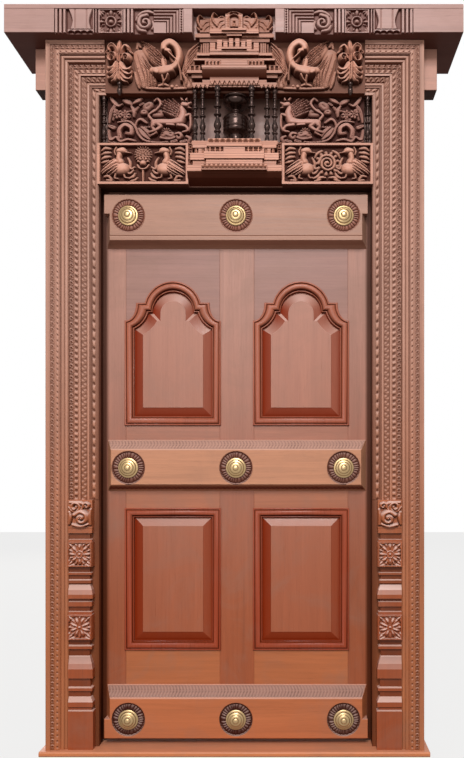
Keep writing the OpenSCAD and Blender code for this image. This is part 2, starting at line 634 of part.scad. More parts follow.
module right_end_colonnette() {
  colonnette(open_h2 - 16 * face_k, 43, z_head, 9.5);
}

// The big black turned post in the shrine, a pot on a foot under a second, upturned pot
module centre_post() {
  h = beast_h - 4;
  color(lacquer) translate([0, 46, z_lintel]) rotate_extrude() polygon([[0, 0], [38, 0], [38, 6],
    [30, 12], [26, 24], [27, 36], [34, 44], [44, 50], [46, 58], [46, 84], [44, 92], [45, 97],
    [43, 102], [30, 108], [18, 114], [14, 121], [18, 127], [13, 133], [24, 138], [38, 145], [45, 154],
    [45, 161], [39, 165], [45, h - 6], [44, h], [20, h + 4], [0, h + 4]]);
}

// A small dark turned drop under each leaf bracket
module left_pendant() {
  color(lacquer) translate([-bracket_x, plank_y - 12, z_top - 150 * face_k]) mirror([0, 0, 1])
    rotate_extrude()
    polygon([[0, 0], [9, 0], [9, 6], [5, 9], [4, 14], [8, 20], [9, 28], [7, 36], [3, 42], [0, 45]]);
}
module right_pendant() {
  twin() left_pendant();
}

// Knuckle spans of a butt hinge: the frame holds the ends, the leaf the middle
function hinge_zs() = [leaf_z0 + 200, (leaf_z0 + leaf_z1) / 2 - hinge_h / 2, leaf_z1 - 200 - hinge_h];
module knuckle(z0, z1) {
  translate([pin_x, pin_y, z0]) cylinder(r = knuckle_r, h = z1 - z0);
}
module bore(z0, z1, r) {
  translate([pin_x, pin_y, z0 - 1]) cylinder(r = r, h = z1 - z0 + 2);
}
module frame_hinge_plates() {
  k = hinge_h / 3;
  color(steel) for (z = hinge_zs()) difference() {
    union() {
      block(pin_x - 46, pin_x - 2.5, leaf_b, leaf_b + 5, z, z + hinge_h);
      knuckle(z, z + k - 0.5);
      knuckle(z + 2 * k + 0.5, z + hinge_h);
    }
    bore(z + k - 0.5, z + 2 * k + 0.5, knuckle_r + 0.5);
    bore(z, z + hinge_h, pin_r + pin_play);
  }
}
module leaf_hinge_plates() {
  k = hinge_h / 3;
  color(steel) for (z = hinge_zs()) difference() {
    union() {
      block(pin_x + 2.5, pin_x + 46, leaf_b, leaf_b + 5, z, z + hinge_h);
      knuckle(z + k, z + 2 * k);
    }
    bore(z - 1, z + k - 1, knuckle_r + 0.5);
    bore(z + 2 * k + 1, z + hinge_h + 1, knuckle_r + 0.5);
    bore(z, z + hinge_h, pin_r + pin_play);
  }
}
module hinge_pins() {
  color(steel) for (z = hinge_zs()) translate([pin_x, pin_y, z]) {
    cylinder(r = pin_r, h = hinge_h + 1);
    translate([0, 0, hinge_h]) cylinder(r = knuckle_r - 1, h = 3);
  }
}

// Stiles, muntin and short rails of the leaf
module left_stile() {
  color(teak) block(-leaf_h2, -stile_in, leaf_f, leaf_b, leaf_z0, leaf_z1);
}
module right_stile() {
  twin() left_stile();
}
module muntin() {
  color(teak) block(-mun_h, mun_h, leaf_f, leaf_b, leaf_z0, leaf_z1);
}
module left_top_rail() {
  color(teak) difference() {
    block(-stile_in, -mun_h, leaf_f, leaf_b, arch_cusp - 65, leaf_z1);
    translate([-pan_c, 0, 0]) along_y(leaf_f - 1, leaf_b + 1) polygon(arch_line(0));
  }
}
module right_top_rail() {
  twin() left_top_rail();
}
module left_middle_rail() {
  color(teak) block(-stile_in, -mun_h, leaf_f, leaf_b, low_top, arch_bot);
}
module right_middle_rail() {
  twin() left_middle_rail();
}
module left_bottom_rail() {
  color(teak) block(-stile_in, -mun_h, leaf_f, leaf_b, leaf_z0, low_bot);
}
module right_bottom_rail() {
  twin() left_bottom_rail();
}

// Planted mouldings that lap the rails, and the raised panels behind them
module left_arched_bead() {
  color(teak) translate([-pan_c, 0, 0]) ring("arch", bead_section());
}
module right_arched_bead() {
  twin() left_arched_bead();
}
module left_lower_bead() {
  color(teak) translate([-pan_c, 0, 0]) ring("low", bead_section());
}
module right_lower_bead() {
  twin() left_lower_bead();
}
function bead_section() = [[-4, leaf_f], [-4, leaf_f - 6], [0, leaf_f - 8], [3, leaf_f - 5],
  [bead_w * 0.26, leaf_f - 9], [bead_w * 0.52, leaf_f - 9], [bead_w * 0.7, leaf_f - 4],
  [bead_w * 0.76, leaf_f + 1], [bead_w * 0.84, leaf_f], [bead_w - 4, leaf_f + 11], [eps, leaf_f + 11],
  [eps, leaf_f]];
function field_section() = [[eps, leaf_f + 26], [eps, leaf_f + 11], [bead_w - 1, leaf_f + 11],
  [bead_w + bevel_w, leaf_f + 3], [bead_w + bevel_w + 1, leaf_f + 1]];
module left_arched_panel() {
  color(teak) translate([-pan_c, 0, 0]) field("arch", field_section());
}
module right_arched_panel() {
  twin() left_arched_panel();
}
module left_lower_panel() {
  color(teak) translate([-pan_c, 0, 0]) field("low", field_section());
}
module right_lower_panel() {
  twin() left_lower_panel();
}

// A batten run with moulded ends: a (y, z) section met by a tapered plan
module moulded_run(sec, h_front, h_back) {
  intersection() {
    along_x(-h_back - 1, h_back + 1) polygon(sec);
    translate([0, 0, 0]) linear_extrude(z_top) polygon([[-h_front, bat_f], [h_front, bat_f],
      [h_back, leaf_f], [-h_back, leaf_f]]);
  }
}
module seats(z) {
  for (x = [-boss_x, 0, boss_x]) translate([x, bat_f + rosette_t, z]) rotate([90, 0, 0])
    cylinder(d = rosette_d + 2 * eps, h = rosette_t + 1);
}
module top_batten() {
  z = boss_top;
  color(teak) difference() {
    union() {
      block(-bat_h, bat_h, bat_f, leaf_f, z + 7, z + 75);
      moulded_run([[bat_f, z + 7], [bat_f, z - 70], [bat_f + 2, z - 71], [bat_f + 2, z - 74],
        [bat_f, z - 75],
        [bat_f, z - 87], [bat_f + 8, z - 90], [bat_f + 26, z - 96], [leaf_f - 6, z - 102],
        [leaf_f, z - 107],
        [leaf_f, z + 7]], bat_h - batten_cut, bat_h);
    }
    seats(z);
  }
}
module middle_batten() {
  z = boss_mid;
  color(teak) difference() {
    moulded_run([[leaf_f, z + 101], [leaf_f - 4, z + 101], [bat_f + 2, z + 65], [bat_f, z + 63],
      [bat_f, z - 61], [bat_f + 12, z - 66], [leaf_f - 8, z - 78], [leaf_f, z - 84]],
      bat_h - batten_cut - 4, bat_h - 2);
    seats(z);
  }
}
module bottom_batten() {
  z = boss_low;
  color(teak) difference() {
    union() {
      block(-bat_h, bat_h, bat_f, leaf_f, z - 67, z + 2);
      moulded_run([[leaf_f, z + 115], [leaf_f - 4, z + 115], [bat_f + 2, z + 76], [bat_f, z + 74],
        [bat_f, z + 2], [leaf_f, z + 2]], bat_h - batten_cut, bat_h);
    }
    seats(z);
  }
}

// Carved petal rings let into the battens
function star(r, d, n) = [for (i = [0 : 2 * n - 1])
  let (a = 180 * i / n, q = i % 2 == 0 ? r : r - d) [q * cos(a), q * sin(a)]];
module rosette() {
  difference() {
    union() {
      cylinder(d = rosette_d, h = rosette_t - 4);
      linear_extrude(rosette_t - 1) polygon(star(rosette_d / 2 - 2, 7, 20));
      linear_extrude(rosette_t + 1) polygon(star(rosette_d / 2 - 12, 5, 20));
    }
    translate([0, 0, -1]) cylinder(r = boss_d / 2 - 6 + eps, h = rosette_t + 3);
  }
}
module rosettes() {
  color(dark_teak) for (z = [boss_low, boss_mid, boss_top]) for (x = [-boss_x, 0, boss_x])
    translate([x, bat_f + rosette_t, z]) rotate([90, 0, 0]) rosette();
}

// Stepped brass bosses, each with a hub that passes through its rosette
module boss() {
  r = boss_d / 2;
  t = rosette_t + 1;
  rotate_extrude() polygon([[0, 0], [r - 6, 0], [r - 6, t], [r, t], [r, t + 2], [r * 0.9, t + 4],
    [r * 0.82, t + 4],   [r * 0.78, t + 8], [r * 0.7, t + 10], [r * 0.6, t + 10], [r * 0.55, t + 13],
    [r * 0.34, t + 15],
    [r * 0.3, boss_h - 5], [r * 0.22, boss_h - 1], [r * 0.1, boss_h + 1], [0, boss_h + 1]]);
}
module bosses() {
  color(brass) for (z = [boss_low, boss_mid, boss_top]) for (x = [-boss_x, 0, boss_x])
    translate([x, bat_f + rosette_t, z]) rotate([90, 0, 0]) boss();
}

sill();
left_post();
right_post();
head_beam();
lintel();
transom_board();
cornice();
left_facing();
right_facing();
head_facing();
left_foot();
right_foot();
left_leaf_bracket();
right_leaf_bracket();
left_bird();
right_bird();
shrine_canopy();
shrine_crown();
shrine_base();
left_beast_panel();
right_beast_panel();
left_duck_panel();
right_duck_panel();
centre_post();
left_inner_colonnette();
right_inner_colonnette();
left_mid_colonnette();
right_mid_colonnette();
left_outer_colonnette();
right_outer_colonnette();
left_end_colonnette();
right_end_colonnette();
left_pendant();
right_pendant();
frame_hinge_plates();
hinge_pins();
left_stile();
right_stile();
muntin();
left_top_rail();
right_top_rail();
left_middle_rail();
right_middle_rail();
left_bottom_rail();
right_bottom_rail();
left_arched_panel();
right_arched_panel();
left_lower_panel();
right_lower_panel();
left_arched_bead();
right_arched_bead();
left_lower_bead();
right_lower_bead();
top_batten();
middle_batten();
bottom_batten();
rosettes();
bosses();
leaf_hinge_plates();
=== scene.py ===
"""A carved temple door of polished teak in its frame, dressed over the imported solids."""

import math

import bmesh
import bpy
import numpy as np
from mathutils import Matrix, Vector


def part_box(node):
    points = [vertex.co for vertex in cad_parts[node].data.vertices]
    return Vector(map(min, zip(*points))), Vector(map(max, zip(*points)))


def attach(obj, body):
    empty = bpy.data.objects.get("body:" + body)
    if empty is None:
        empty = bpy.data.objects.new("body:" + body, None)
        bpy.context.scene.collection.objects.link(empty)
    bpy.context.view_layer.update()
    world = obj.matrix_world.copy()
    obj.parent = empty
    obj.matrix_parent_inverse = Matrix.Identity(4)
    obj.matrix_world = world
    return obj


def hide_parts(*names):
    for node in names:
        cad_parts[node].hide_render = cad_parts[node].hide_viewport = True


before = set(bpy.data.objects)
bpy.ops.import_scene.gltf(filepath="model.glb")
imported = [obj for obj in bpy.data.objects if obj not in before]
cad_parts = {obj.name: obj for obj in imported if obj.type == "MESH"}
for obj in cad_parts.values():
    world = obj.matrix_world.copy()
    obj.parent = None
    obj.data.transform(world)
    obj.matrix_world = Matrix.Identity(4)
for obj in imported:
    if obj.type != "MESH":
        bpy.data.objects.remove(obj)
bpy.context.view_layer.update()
scene = bpy.context.scene
scene.view_settings.view_transform = "Standard"


# Sill, posts and beams
# Squared teak timbers, planed and oiled. The posts stand on the sill, the head beam
# lies across them with a horn at each end, and their arrises are eased with a plane.

def linear(code):
    """Turns an sRGB hex colour into linear RGBA."""
    c = np.array([int(code[i:i + 2], 16) for i in (1, 3, 5)]) / 255.0
    c = np.where(c <= 0.04045, c / 12.92, ((c + 0.055) / 1.055) ** 2.4)
    return (*c.tolist(), 1.0)


def put(tree, kind, links=None, **settings):
    """Adds one shader node with its settings, and sets or links its inputs. An input goes by name, or
    by number where names repeat: a Mix node's share is 0, its colours are 6 and 7, its result is 2."""
    n = tree.nodes.new("ShaderNode" + kind)
    for key, value in settings.items():
        setattr(n, key, value)
    for key, value in (links or {}).items():
        if isinstance(value, bpy.types.NodeSocket):
            tree.links.new(value, n.inputs[key])
        else:
            n.inputs[key].default_value = value
    return n


def emptied(holder):
    """The node tree of a new material or world, with nothing in it yet."""
    holder.use_nodes = True
    holder.node_tree.nodes.clear()
    return holder.node_tree


def teak(name, grain, low, high, shift=0.0, rough=(0.36, 0.52), figure=0.2, shade_colour="#260d07", coat=0.0,
         ledge_sheen=0.42, steep=0.75, patina=0.25, under_shade=0.93, reeds=0.0, lit_side_share=0.0):
    """Oiled teak: streaks drawn out along the grain, on a colour that goes from low at the door's foot to
    high at its top, a rise that is partly painted sheen, paler and pinker up high. Figure is the strength of
    the streaks, patina of clouds of grey wear and coat of polish. Hollows are dark and dull with painted
    shade, and faces that look down with painted shade as strong as the under shade, both in the shade
    colour.
    Faces that look up take a painted pale reflection as strong as the ledge sheen, in full where a face
    looks up by steep. Reeds is the pitch of fine cut lines in millimetres, drawn as painted shade. The lit
    side share is painted light: that share of the painted shade is taken from faces that look up, and half
    of it from those that look right. Shift gives each board its own stretch of the pattern."""
    mat = bpy.data.materials.new(name)
    t = emptied(mat)
    shade_tone, pore, wear, ledge_sheen_tint = (linear(c) for c in (shade_colour, "#4a2416", "#886454", "#d6b0a2"))
    at = put(t, "TexCoord").outputs["Object"]

    def streak(wide_mm, long_mm, detail, bend):
        """Noise in cells wide_mm across the grain and long_mm along it."""
        across, along = 1000.0 / wide_mm, 1000.0 / long_mm
        size = {"Z": (across, across, along), "X": (along, across, across)}[grain]
        place = put(t, "Mapping", {"Vector": at, "Scale": size,
                                   "Location": (shift, shift * 0.7, shift * 1.3)}).outputs[0]
        return put(t, "TexNoise", {"Vector": place, "Scale": 1.0, "Detail": detail, "Roughness": 0.6,
                                   "Distortion": bend}).outputs["Fac"]

    broad = streak(wide_mm=46, long_mm=900, detail=3.0, bend=0.9)
    fine = streak(wide_mm=6, long_mm=240, detail=4.0, bend=0.3)
    # Real pores are about a tenth as wide. These are as coarse as they need to be to show.
    pores = streak(wide_mm=2.6, long_mm=46, detail=2.0, bend=0.0)
    # The colour rises from low to high with height; that rise is partly painted sheen, paler and pinker up
    # high.
    height = put(t, "SeparateXYZ", {"Vector": at}).outputs["Z"]
    rise = put(t, "MapRange", {"Value": height, "From Min": 0.35, "From Max": 1.75},
               interpolation_type="SMOOTHSTEP")
    body = put(t, "Mix", {0: rise.outputs[0], 6: linear(low), 7: linear(high)}, data_type="RGBA")
    both = put(t, "Math", {0: fine, 1: 0.6, 2: broad}, operation="MULTIPLY_ADD")
    tone = put(t, "MapRange", {"Value": both.outputs[0], "From Min": 0.44, "From Max": 1.16,
                               "To Min": 1.0 - figure, "To Max": 1.0 + figure * 0.8})
    wood = put(t, "HueSaturation", {"Color": body.outputs[2], "Value": tone.outputs[0]})
    line = put(t, "MapRange", {"Value": pores, "From Min": 0.58, "From Max": 0.72, "To Max": 0.14})
    pored = put(t, "Mix", {0: line.outputs[0], 6: wood.outputs[0], 7: pore}, data_type="RGBA")
    cloud_mm = 190
    cloud = put(t, "TexNoise", {"Vector": at, "Scale": 1000.0 / cloud_mm, "Detail": 5.0,
                                "Roughness": 0.65, "Distortion": 0.8}).outputs["Fac"]
    worn = put(t, "MapRange", {"Value": cloud, "From Min": 0.46, "From Max": 0.72, "To Max": patina})
    greyed = put(t, "Mix", {0: worn.outputs[0], 6: pored.outputs[2], 7: wear}, data_type="RGBA")
    hollow = put(t, "Attribute", attribute_name="hollow").outputs["Fac"]
    # Fine cut lines, drawn as painted shade.
    if reeds:
        band = put(t, "TexWave", {"Vector": at, "Scale": 100.0 * math.pi / reeds, "Distortion": 0.6,
                                  "Detail": 2.0}, bands_direction="Z").outputs["Fac"]
        line = put(t, "MapRange", {"Value": band, "From Min": 0.3, "From Max": 0.0, "To Max": 0.42})
        hollow = put(t, "Math", {0: hollow, 1: line.outputs[0]}, operation="MAXIMUM").outputs[0]
    way = put(t, "SeparateXYZ", {"Vector": put(t, "NewGeometry").outputs["Normal"]})
    right, up = way.outputs["X"], way.outputs["Z"]
    # Painted light: faces that look up, and by half those that look right, lose a share of their painted
    # shade.
    for turn, start, end, share in ((right, -0.05, 0.2, 0.5), (up, 0.05, 0.25, 1.0)) if lit_side_share else ():
        shade_kept = put(t, "MapRange", {"Value": turn, "From Min": start, "From Max": end,
                                   "To Min": 1.0, "To Max": 1.0 - lit_side_share * share})
        hollow = put(t, "Math", {0: hollow, 1: shade_kept.outputs[0]}, operation="MULTIPLY").outputs[0]
    # Painted shade in the hollows.
    hollow_shaded = put(t, "Mix", {0: hollow, 6: greyed.outputs[2], 7: shade_tone}, data_type="RGBA")
    # Painted shade on faces that look down.
    under = put(t, "MapRange", {"Value": up, "From Min": -0.15, "From Max": -0.75, "To Max": under_shade})
    under_shaded = put(t, "Mix", {0: under.outputs[0], 6: hollow_shaded.outputs[2], 7: shade_tone}, data_type="RGBA")
    # A painted pale reflection on faces that look up.
    ledge = put(t, "MapRange", {"Value": up, "From Min": 0.12, "From Max": steep, "To Max": ledge_sheen})
    done = put(t, "Mix", {0: ledge.outputs[0], 6: under_shaded.outputs[2], 7: ledge_sheen_tint}, data_type="RGBA")
    raw = put(t, "Math", {0: hollow, 1: under.outputs[0]}, operation="MAXIMUM")
    sheen = put(t, "MapRange", {"Value": raw.outputs[0], "From Min": 0.0, "From Max": 0.75,
                                "To Min": 0.25, "To Max": 0.02})
    polish = put(t, "MapRange", {"Value": fine, "From Min": 0.3, "From Max": 0.7,
                                 "To Min": rough[0], "To Max": rough[1]})
    ridge = put(t, "Math", {0: pores, 1: fine}, operation="ADD")
    bump = put(t, "Bump", {"Height": ridge.outputs[0], "Strength": 0.10, "Distance": 0.0008})
    skin = put(t, "BsdfPrincipled", {"Base Color": done.outputs[2], "Roughness": polish.outputs[0],
                                     "Normal": bump.outputs[0], "IOR": 1.5,
                                     "Specular IOR Level": sheen.outputs[0],
                                     "Coat Weight": coat, "Coat Roughness": 0.2})
    put(t, "OutputMaterial", {"Surface": skin.outputs[0]})
    return mat


def ease(piece, width_mm, angle=30):
    """Planes a narrow round on each arris of a piece that turns by more than the angle."""
    arris = piece.modifiers.new("eased_arris", "BEVEL")
    arris.width = width_mm / 1000.0
    arris.segments = 2
    arris.limit_method = "ANGLE"
    arris.angle_limit = math.radians(angle)


def dressed(node, body, material, soften=1.2, shade=None, cuts=()):
    """A merged copy of a CAD solid, its arrises eased by soften millimetres, dark where shade(x, y, z)
    says. Each cut of (axis, place) adds edges across it, so that the darkness can change there."""
    bm = bmesh.new()
    bm.from_mesh(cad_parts[node].data)
    bmesh.ops.remove_doubles(bm, verts=bm.verts, dist=1e-5)
    bmesh.ops.dissolve_limit(bm, angle_limit=0.02, verts=bm.verts, edges=bm.edges)
    bmesh.ops.recalc_face_normals(bm, faces=bm.faces)
    for axis, place in cuts:
        every = list(bm.verts) + list(bm.edges) + list(bm.faces)
        way = np.eye(3)[axis]
        bmesh.ops.bisect_plane(bm, geom=every, dist=1e-5, plane_co=way * place / 1000.0, plane_no=way)
    mesh = bpy.data.meshes.new(node + "_worked")
    bm.to_mesh(mesh)
    bm.free()
    mesh.materials.clear()
    mesh.materials.append(material)
    if shade:
        at = np.empty(3 * len(mesh.vertices), np.float32)
        mesh.vertices.foreach_get("co", at)
        dark = np.clip(shade(*(at.reshape(-1, 3).T * 1000.0)), 0, 0.95).astype(np.float32)
        mesh.attributes.new("hollow", "FLOAT", "POINT").data.foreach_set("value", dark)
    piece = bpy.data.objects.new(node + "_worked", mesh)
    scene.collection.objects.link(piece)
    ease(piece, soften, 40)
    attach(piece, body)
    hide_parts(node)
    return piece


def reveal_painted_shade(x, y, z):
    """Painted shade on a post: even on its faces in the doorway, in front of the leaf."""
    return 0.85 * (np.abs(x) < 500) * (y < 100)


dressed("sill", "frame", teak("teak_sill_worn", "X", "#c9794c", "#c9794c", 5.2, ledge_sheen=0.15), 2.0)
for name in ("left_post", "right_post"):
    post_wood = teak("teak_" + name, "Z", "#8f4c30", "#a06a58", 0.4 + len(name))
    dressed(name, "frame", post_wood, 2.0, reveal_painted_shade)
beam_wood = teak("teak_beam_oiled", "X", "#a8643f", "#b58574", 1.9)
for name in ("head_beam", "lintel"):
    dressed(name, "frame", beam_wood, 2.0)
transom_wood = teak("teak_transom_stained", "X", "#8d6c62", "#8d6c62", 2.9)
dressed("transom_board", "frame", transom_wood, 1.5)


# Carved facings
# Mitred teak strips round the doorway, run with a moulding plane and then cut into
# rows of crescents, dashes, pits, leaf tips and drilled beads with gouge and chisel.

def surface(name, verts, faces, material, body, nodes=(), hollow=None, crease=40, closed=True):
    """A mesh from whole arrays in millimetres, with a darkness for each point. A closed one is joined at
    its seams, and an open one is turned to face the front."""
    mesh = bpy.data.meshes.new(name)
    faces = faces if isinstance(faces, list) else faces.tolist()
    mesh.from_pydata((np.asarray(verts) / 1000.0).tolist(), [], faces)
    if hollow is not None:
        dark = np.asarray(hollow, np.float32).ravel()
        mesh.attributes.new("hollow", "FLOAT", "POINT").data.foreach_set("value", dark)
    bm = bmesh.new()
    bm.from_mesh(mesh)
    if closed:
        bmesh.ops.remove_doubles(bm, verts=bm.verts, dist=1e-6)
        bmesh.ops.recalc_face_normals(bm, faces=bm.faces)
    elif sum(f.normal.y for f in bm.faces[:400]) > 0:
        bmesh.ops.reverse_faces(bm, faces=bm.faces)
    bm.to_mesh(mesh)
    bm.free()
    mesh.materials.append(material)
    mesh.shade_smooth()
    mesh.set_sharp_from_angle(angle=math.radians(crease))
    piece = bpy.data.objects.new(name, mesh)
    scene.collection.objects.link(piece)
    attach(piece, body)
    if nodes:
        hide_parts(*nodes)
    return piece


def sheet(rows, cols):
    """Quads of a rows by cols grid of points."""
    k = np.arange(rows * cols).reshape(rows, cols)
    return np.stack([k[:-1, :-1], k[1:, :-1], k[1:, 1:], k[:-1, 1:]], -1).reshape(-1, 4)


# Each cut gives the height of its row and a darkness, which is painted shade in its low places.
def crescents(a, p, half, pitch, rise):
    """Half rings, open below: a round ridge at a fixed distance from each middle, with a dark eye."""
    r = np.hypot(a * half * 1.05, p)
    ring = np.exp(-((r - 0.30 * pitch) / (0.085 * pitch)) ** 2) * (p > -0.26 * pitch)
    eye = np.exp(-(r / (0.2 * pitch)) ** 2)
    gap = np.exp(-((np.abs(p) - pitch / 2) / (0.1 * pitch)) ** 2)
    return rise * (0.2 + 0.8 * ring), np.clip(0.95 * eye + 0.75 * gap + 0.35 * (1 - ring), 0, 0.9)


def dashes(a, p, half, pitch, rise):
    """A half-round reed with a short cut at each pitch."""
    cut = np.exp(-(p / (0.16 * pitch)) ** 4) * np.exp(-(a / 0.5) ** 4)
    return rise * np.sqrt(np.clip(1.02 - a ** 2, 0, 1)) * (1 - 0.9 * cut), 0.85 * cut


def pitted(a, p, half, pitch, rise):
    """A flat band with a round pit sunk at each pitch and a low rib between the pits."""
    pit = np.exp(-(np.hypot(a * half * 0.8, p) / (0.24 * pitch)) ** 4)
    rib = 0.55 - 0.2 * np.cos(2 * np.pi * p / pitch)
    return rise * rib * (1 - 0.9 * pit) * np.clip((1 - np.abs(a)) * 5, 0, 1), 0.85 * pit


def leafage(a, p, half, pitch, rise):
    """Small curled leaf tips in two staggered columns over a ground darkened with painted shade."""
    columns = ((-0.45, 0.0), (0.45, 0.5))
    tips = [np.exp(-(np.hypot((a - c) * half, ((p / pitch + s) % 1.0 - 0.5) * pitch) / 4.4) ** 2)
            for c, s in columns]
    vein = np.exp(-(np.abs(a + 0.55 * np.sin(2 * np.pi * p / pitch)) * half / 1.6) ** 2)
    leaf = np.maximum(np.max(tips, axis=0), 0.7 * vein)
    return rise * leaf, np.clip(0.75 - 0.95 * leaf, 0, 0.8)


def drilled(a, p, half, pitch, rise):
    """A string of long beads with a drilled hole between each two."""
    hole = np.exp(-(np.hypot(a * half, np.abs(p) - pitch / 2) / 4.8) ** 4)
    bead = np.sqrt(np.clip(1.02 - a ** 2, 0, 1)) * (0.75 + 0.25 * np.cos(2 * np.pi * p / pitch))
    return rise * bead * (1 - hole), hole


# The facing's outer edge and its top, the foot's top, the sill's top and the inner end of a head row.
FACING_EDGE, HEAD_TOP, FOOT_TOP, SILL_TOP, HEAD_END = 664, 2508, 895.0, 19.0, 459.0
# Each row: its two edges, from the facing's outer edge, their depths, its pitch, its rise and its cut.
ROWS = ((17, 32, 3, 3, 20.0, 3.4, crescents), (36, 48, 3, 3, 20.0, 3.2, dashes),
        (79, 95, 18, 18, 21.0, 5.0, crescents), (97, 111.5, 18, 18, 21.0, 6.0, pitted),
        (120.5, 139, 21, 29, 21.0, 4.0, leafage), (154.5, 168, 36, 36, 31.5, 6.5, drilled))
# The facing's quirks: a place across it, from the outer edge, and the painted shade there.
QUIRKS = ((0, 0), (16, 0), (17, .35), (18, .15), (49, .15), (51, .7), (54, .7), (56, 0), (61, 0), (65, .5),
          (66, .65), (68, .1), (73, 0), (77, .4), (78, .8), (79, .35), (111, .35), (112, .05), (119, .05),
          (120, .6), (138, .5), (140, .05), (146, .05), (147, .6), (153, .05), (154, .55), (167, .45),
          (168, .05), (177, 0), (179, 0))


def facing_rows(side, head):
    """Points, quads and painted shade of the six rows on a jamb, or on one end of the head, up to the mitre.
    """
    pts, quads, dark, start = [], [], [], 0
    for u0, u1, y0, y1, pitch, rise, cut in ROWS:
        outer = u0 < 60
        if head:
            v0, v1 = -FACING_EDGE + 0.5 * (u0 + u1), -HEAD_END
        else:
            v0, v1 = (SILL_TOP if outer else FOOT_TOP), HEAD_TOP - 0.5 * (u0 + u1)
        n = max(2, int(round((v1 - v0) / pitch)))
        a, s = np.meshgrid(np.linspace(-1, 1, 9), np.arange(n * 10 + 1) / 10.0, indexing="ij")
        u = u0 + (a * 0.5 + 0.5) * (u1 - u0)
        lean = u - 0.5 * (u0 + u1)
        v = v0 + (v1 - v0) * s / n + (lean * (1 - s / n) if head else -lean * (s / n))
        h, d = cut(a, (s % 1.0 - 0.5) * pitch, 0.5 * (u1 - u0), pitch, rise)
        h = np.where(np.abs(a) > 0.999, -0.4, h)
        y = y0 + (y1 - y0) * (a * 0.5 + 0.5) - h
        x, z = (side * -v, HEAD_TOP - u) if head else (side * (FACING_EDGE - u), v)
        pts.append(np.stack([x, y, z], -1).reshape(-1, 3))
        quads.append(sheet(*a.shape) + start)
        dark.append(d.ravel() * (0.75 if outer else 0.8))
        start += a.size
    return np.vstack(pts), np.vstack(quads), np.concatenate(dark)


def quirk_shade(u):
    """Painted shade across the facing, in the quirks between its reeds and fillets."""
    return np.interp(u, *np.array(QUIRKS).T)


def jamb_painted_shade(x, y, z):
    """Painted shade on a jamb's facing: in its quirks above the foot, and on its return into the doorway."""
    across = np.abs(x)
    quirks = quirk_shade(FACING_EDGE - across) * (y < 40) * (z > 890)
    return quirks + np.clip((500 - across) / 34, 0, 0.42) + 0.32 * (across < 498) * (z < 900)


def head_painted_shade(x, y, z):
    """Painted shade on the head's facing: in the same quirks, and on its sunk face 18 mm back."""
    return np.where(np.abs(y - 18) < 0.6, 0.72, quirk_shade(HEAD_TOP - z) * (y < 40))


facing_upright = teak("teak_facing_upright", "Z", "#a8633f", "#b58673", 0.9, shade_colour="#42190c")
facing_cross = teak("teak_facing_cross", "X", "#a8633f", "#b58673", 2.2, shade_colour="#42190c")
HANDS = (("left_", -1), ("right_", 1))
for hand, side in HANDS:
    dressed(hand + "facing", "frame", facing_upright, 0.8, jamb_painted_shade)
    pts, quads, dark = facing_rows(side, False)
    surface(hand + "facing_carving", pts, quads, facing_upright, "frame", hollow=dark, closed=False)
    pts, quads, dark = facing_rows(side, True)
    surface(hand + "head_carving", pts, quads, facing_cross, "frame", hollow=dark, closed=False)
dressed("head_facing", "frame", facing_cross, 0.8, head_painted_shade)


# Pilaster feet
# A teak block at the foot of each jamb, cut like a stack of cushions and fillets, with
# two flower blocks and a leaf scroll at the top. Glued and pegged to the post.

def curve(path, n=5):
    """A smooth run of points through path: a cubic between each two with the slopes of their neighbours."""
    p = np.asarray(path, float)
    if len(p) < 3:
        return p
    a = np.vstack([2 * p[0] - p[1], p, 2 * p[-1] - p[-2]])
    t = np.linspace(0, 1, n, endpoint=False)[None, :, None]
    a, b, c, d = a[:-3, None], a[1:-2, None], a[2:-1, None], a[3:, None]
    q = 0.5 * (2 * b + (c - a) * t + (2 * a - 5 * b + 4 * c - d) * t ** 2 + (3 * b - a - 3 * c + d) * t ** 3)
    return np.vstack([q.reshape(-1, p.shape[1]), p[-1:]])


def ridges(paths, u, v, lean=0.0, barb=0.0, vein=0.0, power=2.0):
    """Height over a grid of half-round ridges along paths of (u, v, radius, height); the highest counts.
    Lean raises one flank, slanting cuts come every barb millimetres, vein sinks a line along the
    middle, and a higher power gives a fuller top."""
    high = np.zeros((len(u), len(v)))
    for path in paths:
        q = curve(path)
        gone = np.append(0.0, np.cumsum(np.hypot(*np.diff(q[:, :2], axis=0).T)))
        for a, b, start in zip(q[:-1], q[1:], gone):
            r = max(a[2], b[2], 0.5)
            i = slice(*np.searchsorted(u, [min(a[0], b[0]) - r, max(a[0], b[0]) + r]))
            j = slice(*np.searchsorted(v, [min(a[1], b[1]) - r, max(a[1], b[1]) + r]))
            du, dv = u[i, None] - a[0], v[None, j] - a[1]
            e = b[:2] - a[:2]
            t = np.clip((du * e[0] + dv * e[1]) / max(e @ e, 1e-9), 0, 1)
            wide, tall = np.maximum(a[2] + (b[2] - a[2]) * t, 0.3), a[3] + (b[3] - a[3]) * t
            off = np.hypot(du - t * e[0], dv - t * e[1]) / wide
            long = math.hypot(*e)
            tilt = 1 + lean * np.clip((du * e[1] - dv * e[0]) / (long + 1e-9) / wide, -1, 1)
            if barb:
                tilt = tilt * (0.93 + 0.07 * np.cos(2 * np.pi * (start + t * long + 6 * off) / barb))
            if vein:
                tilt = tilt * (1 - vein * np.exp(-(off / 0.22) ** 2))
            high[i, j] = np.maximum(high[i, j], tall * tilt * np.sqrt(np.clip(1 - off ** power, 0, 1)))
    return high


def coil(u, v, r, start, turn, w, h, end=0.25):
    """A spiral path that winds in from radius r through turn degrees."""
    t = np.linspace(0, 1, 3 + int(abs(turn) / 60))
    a, q = np.radians(start + turn * t), r * (1 - (1 - end) * t)
    return np.stack([u + q * np.cos(a), v + q * np.sin(a), w * (1 - 0.35 * t), h * (1 + 0.15 * t)], -1)


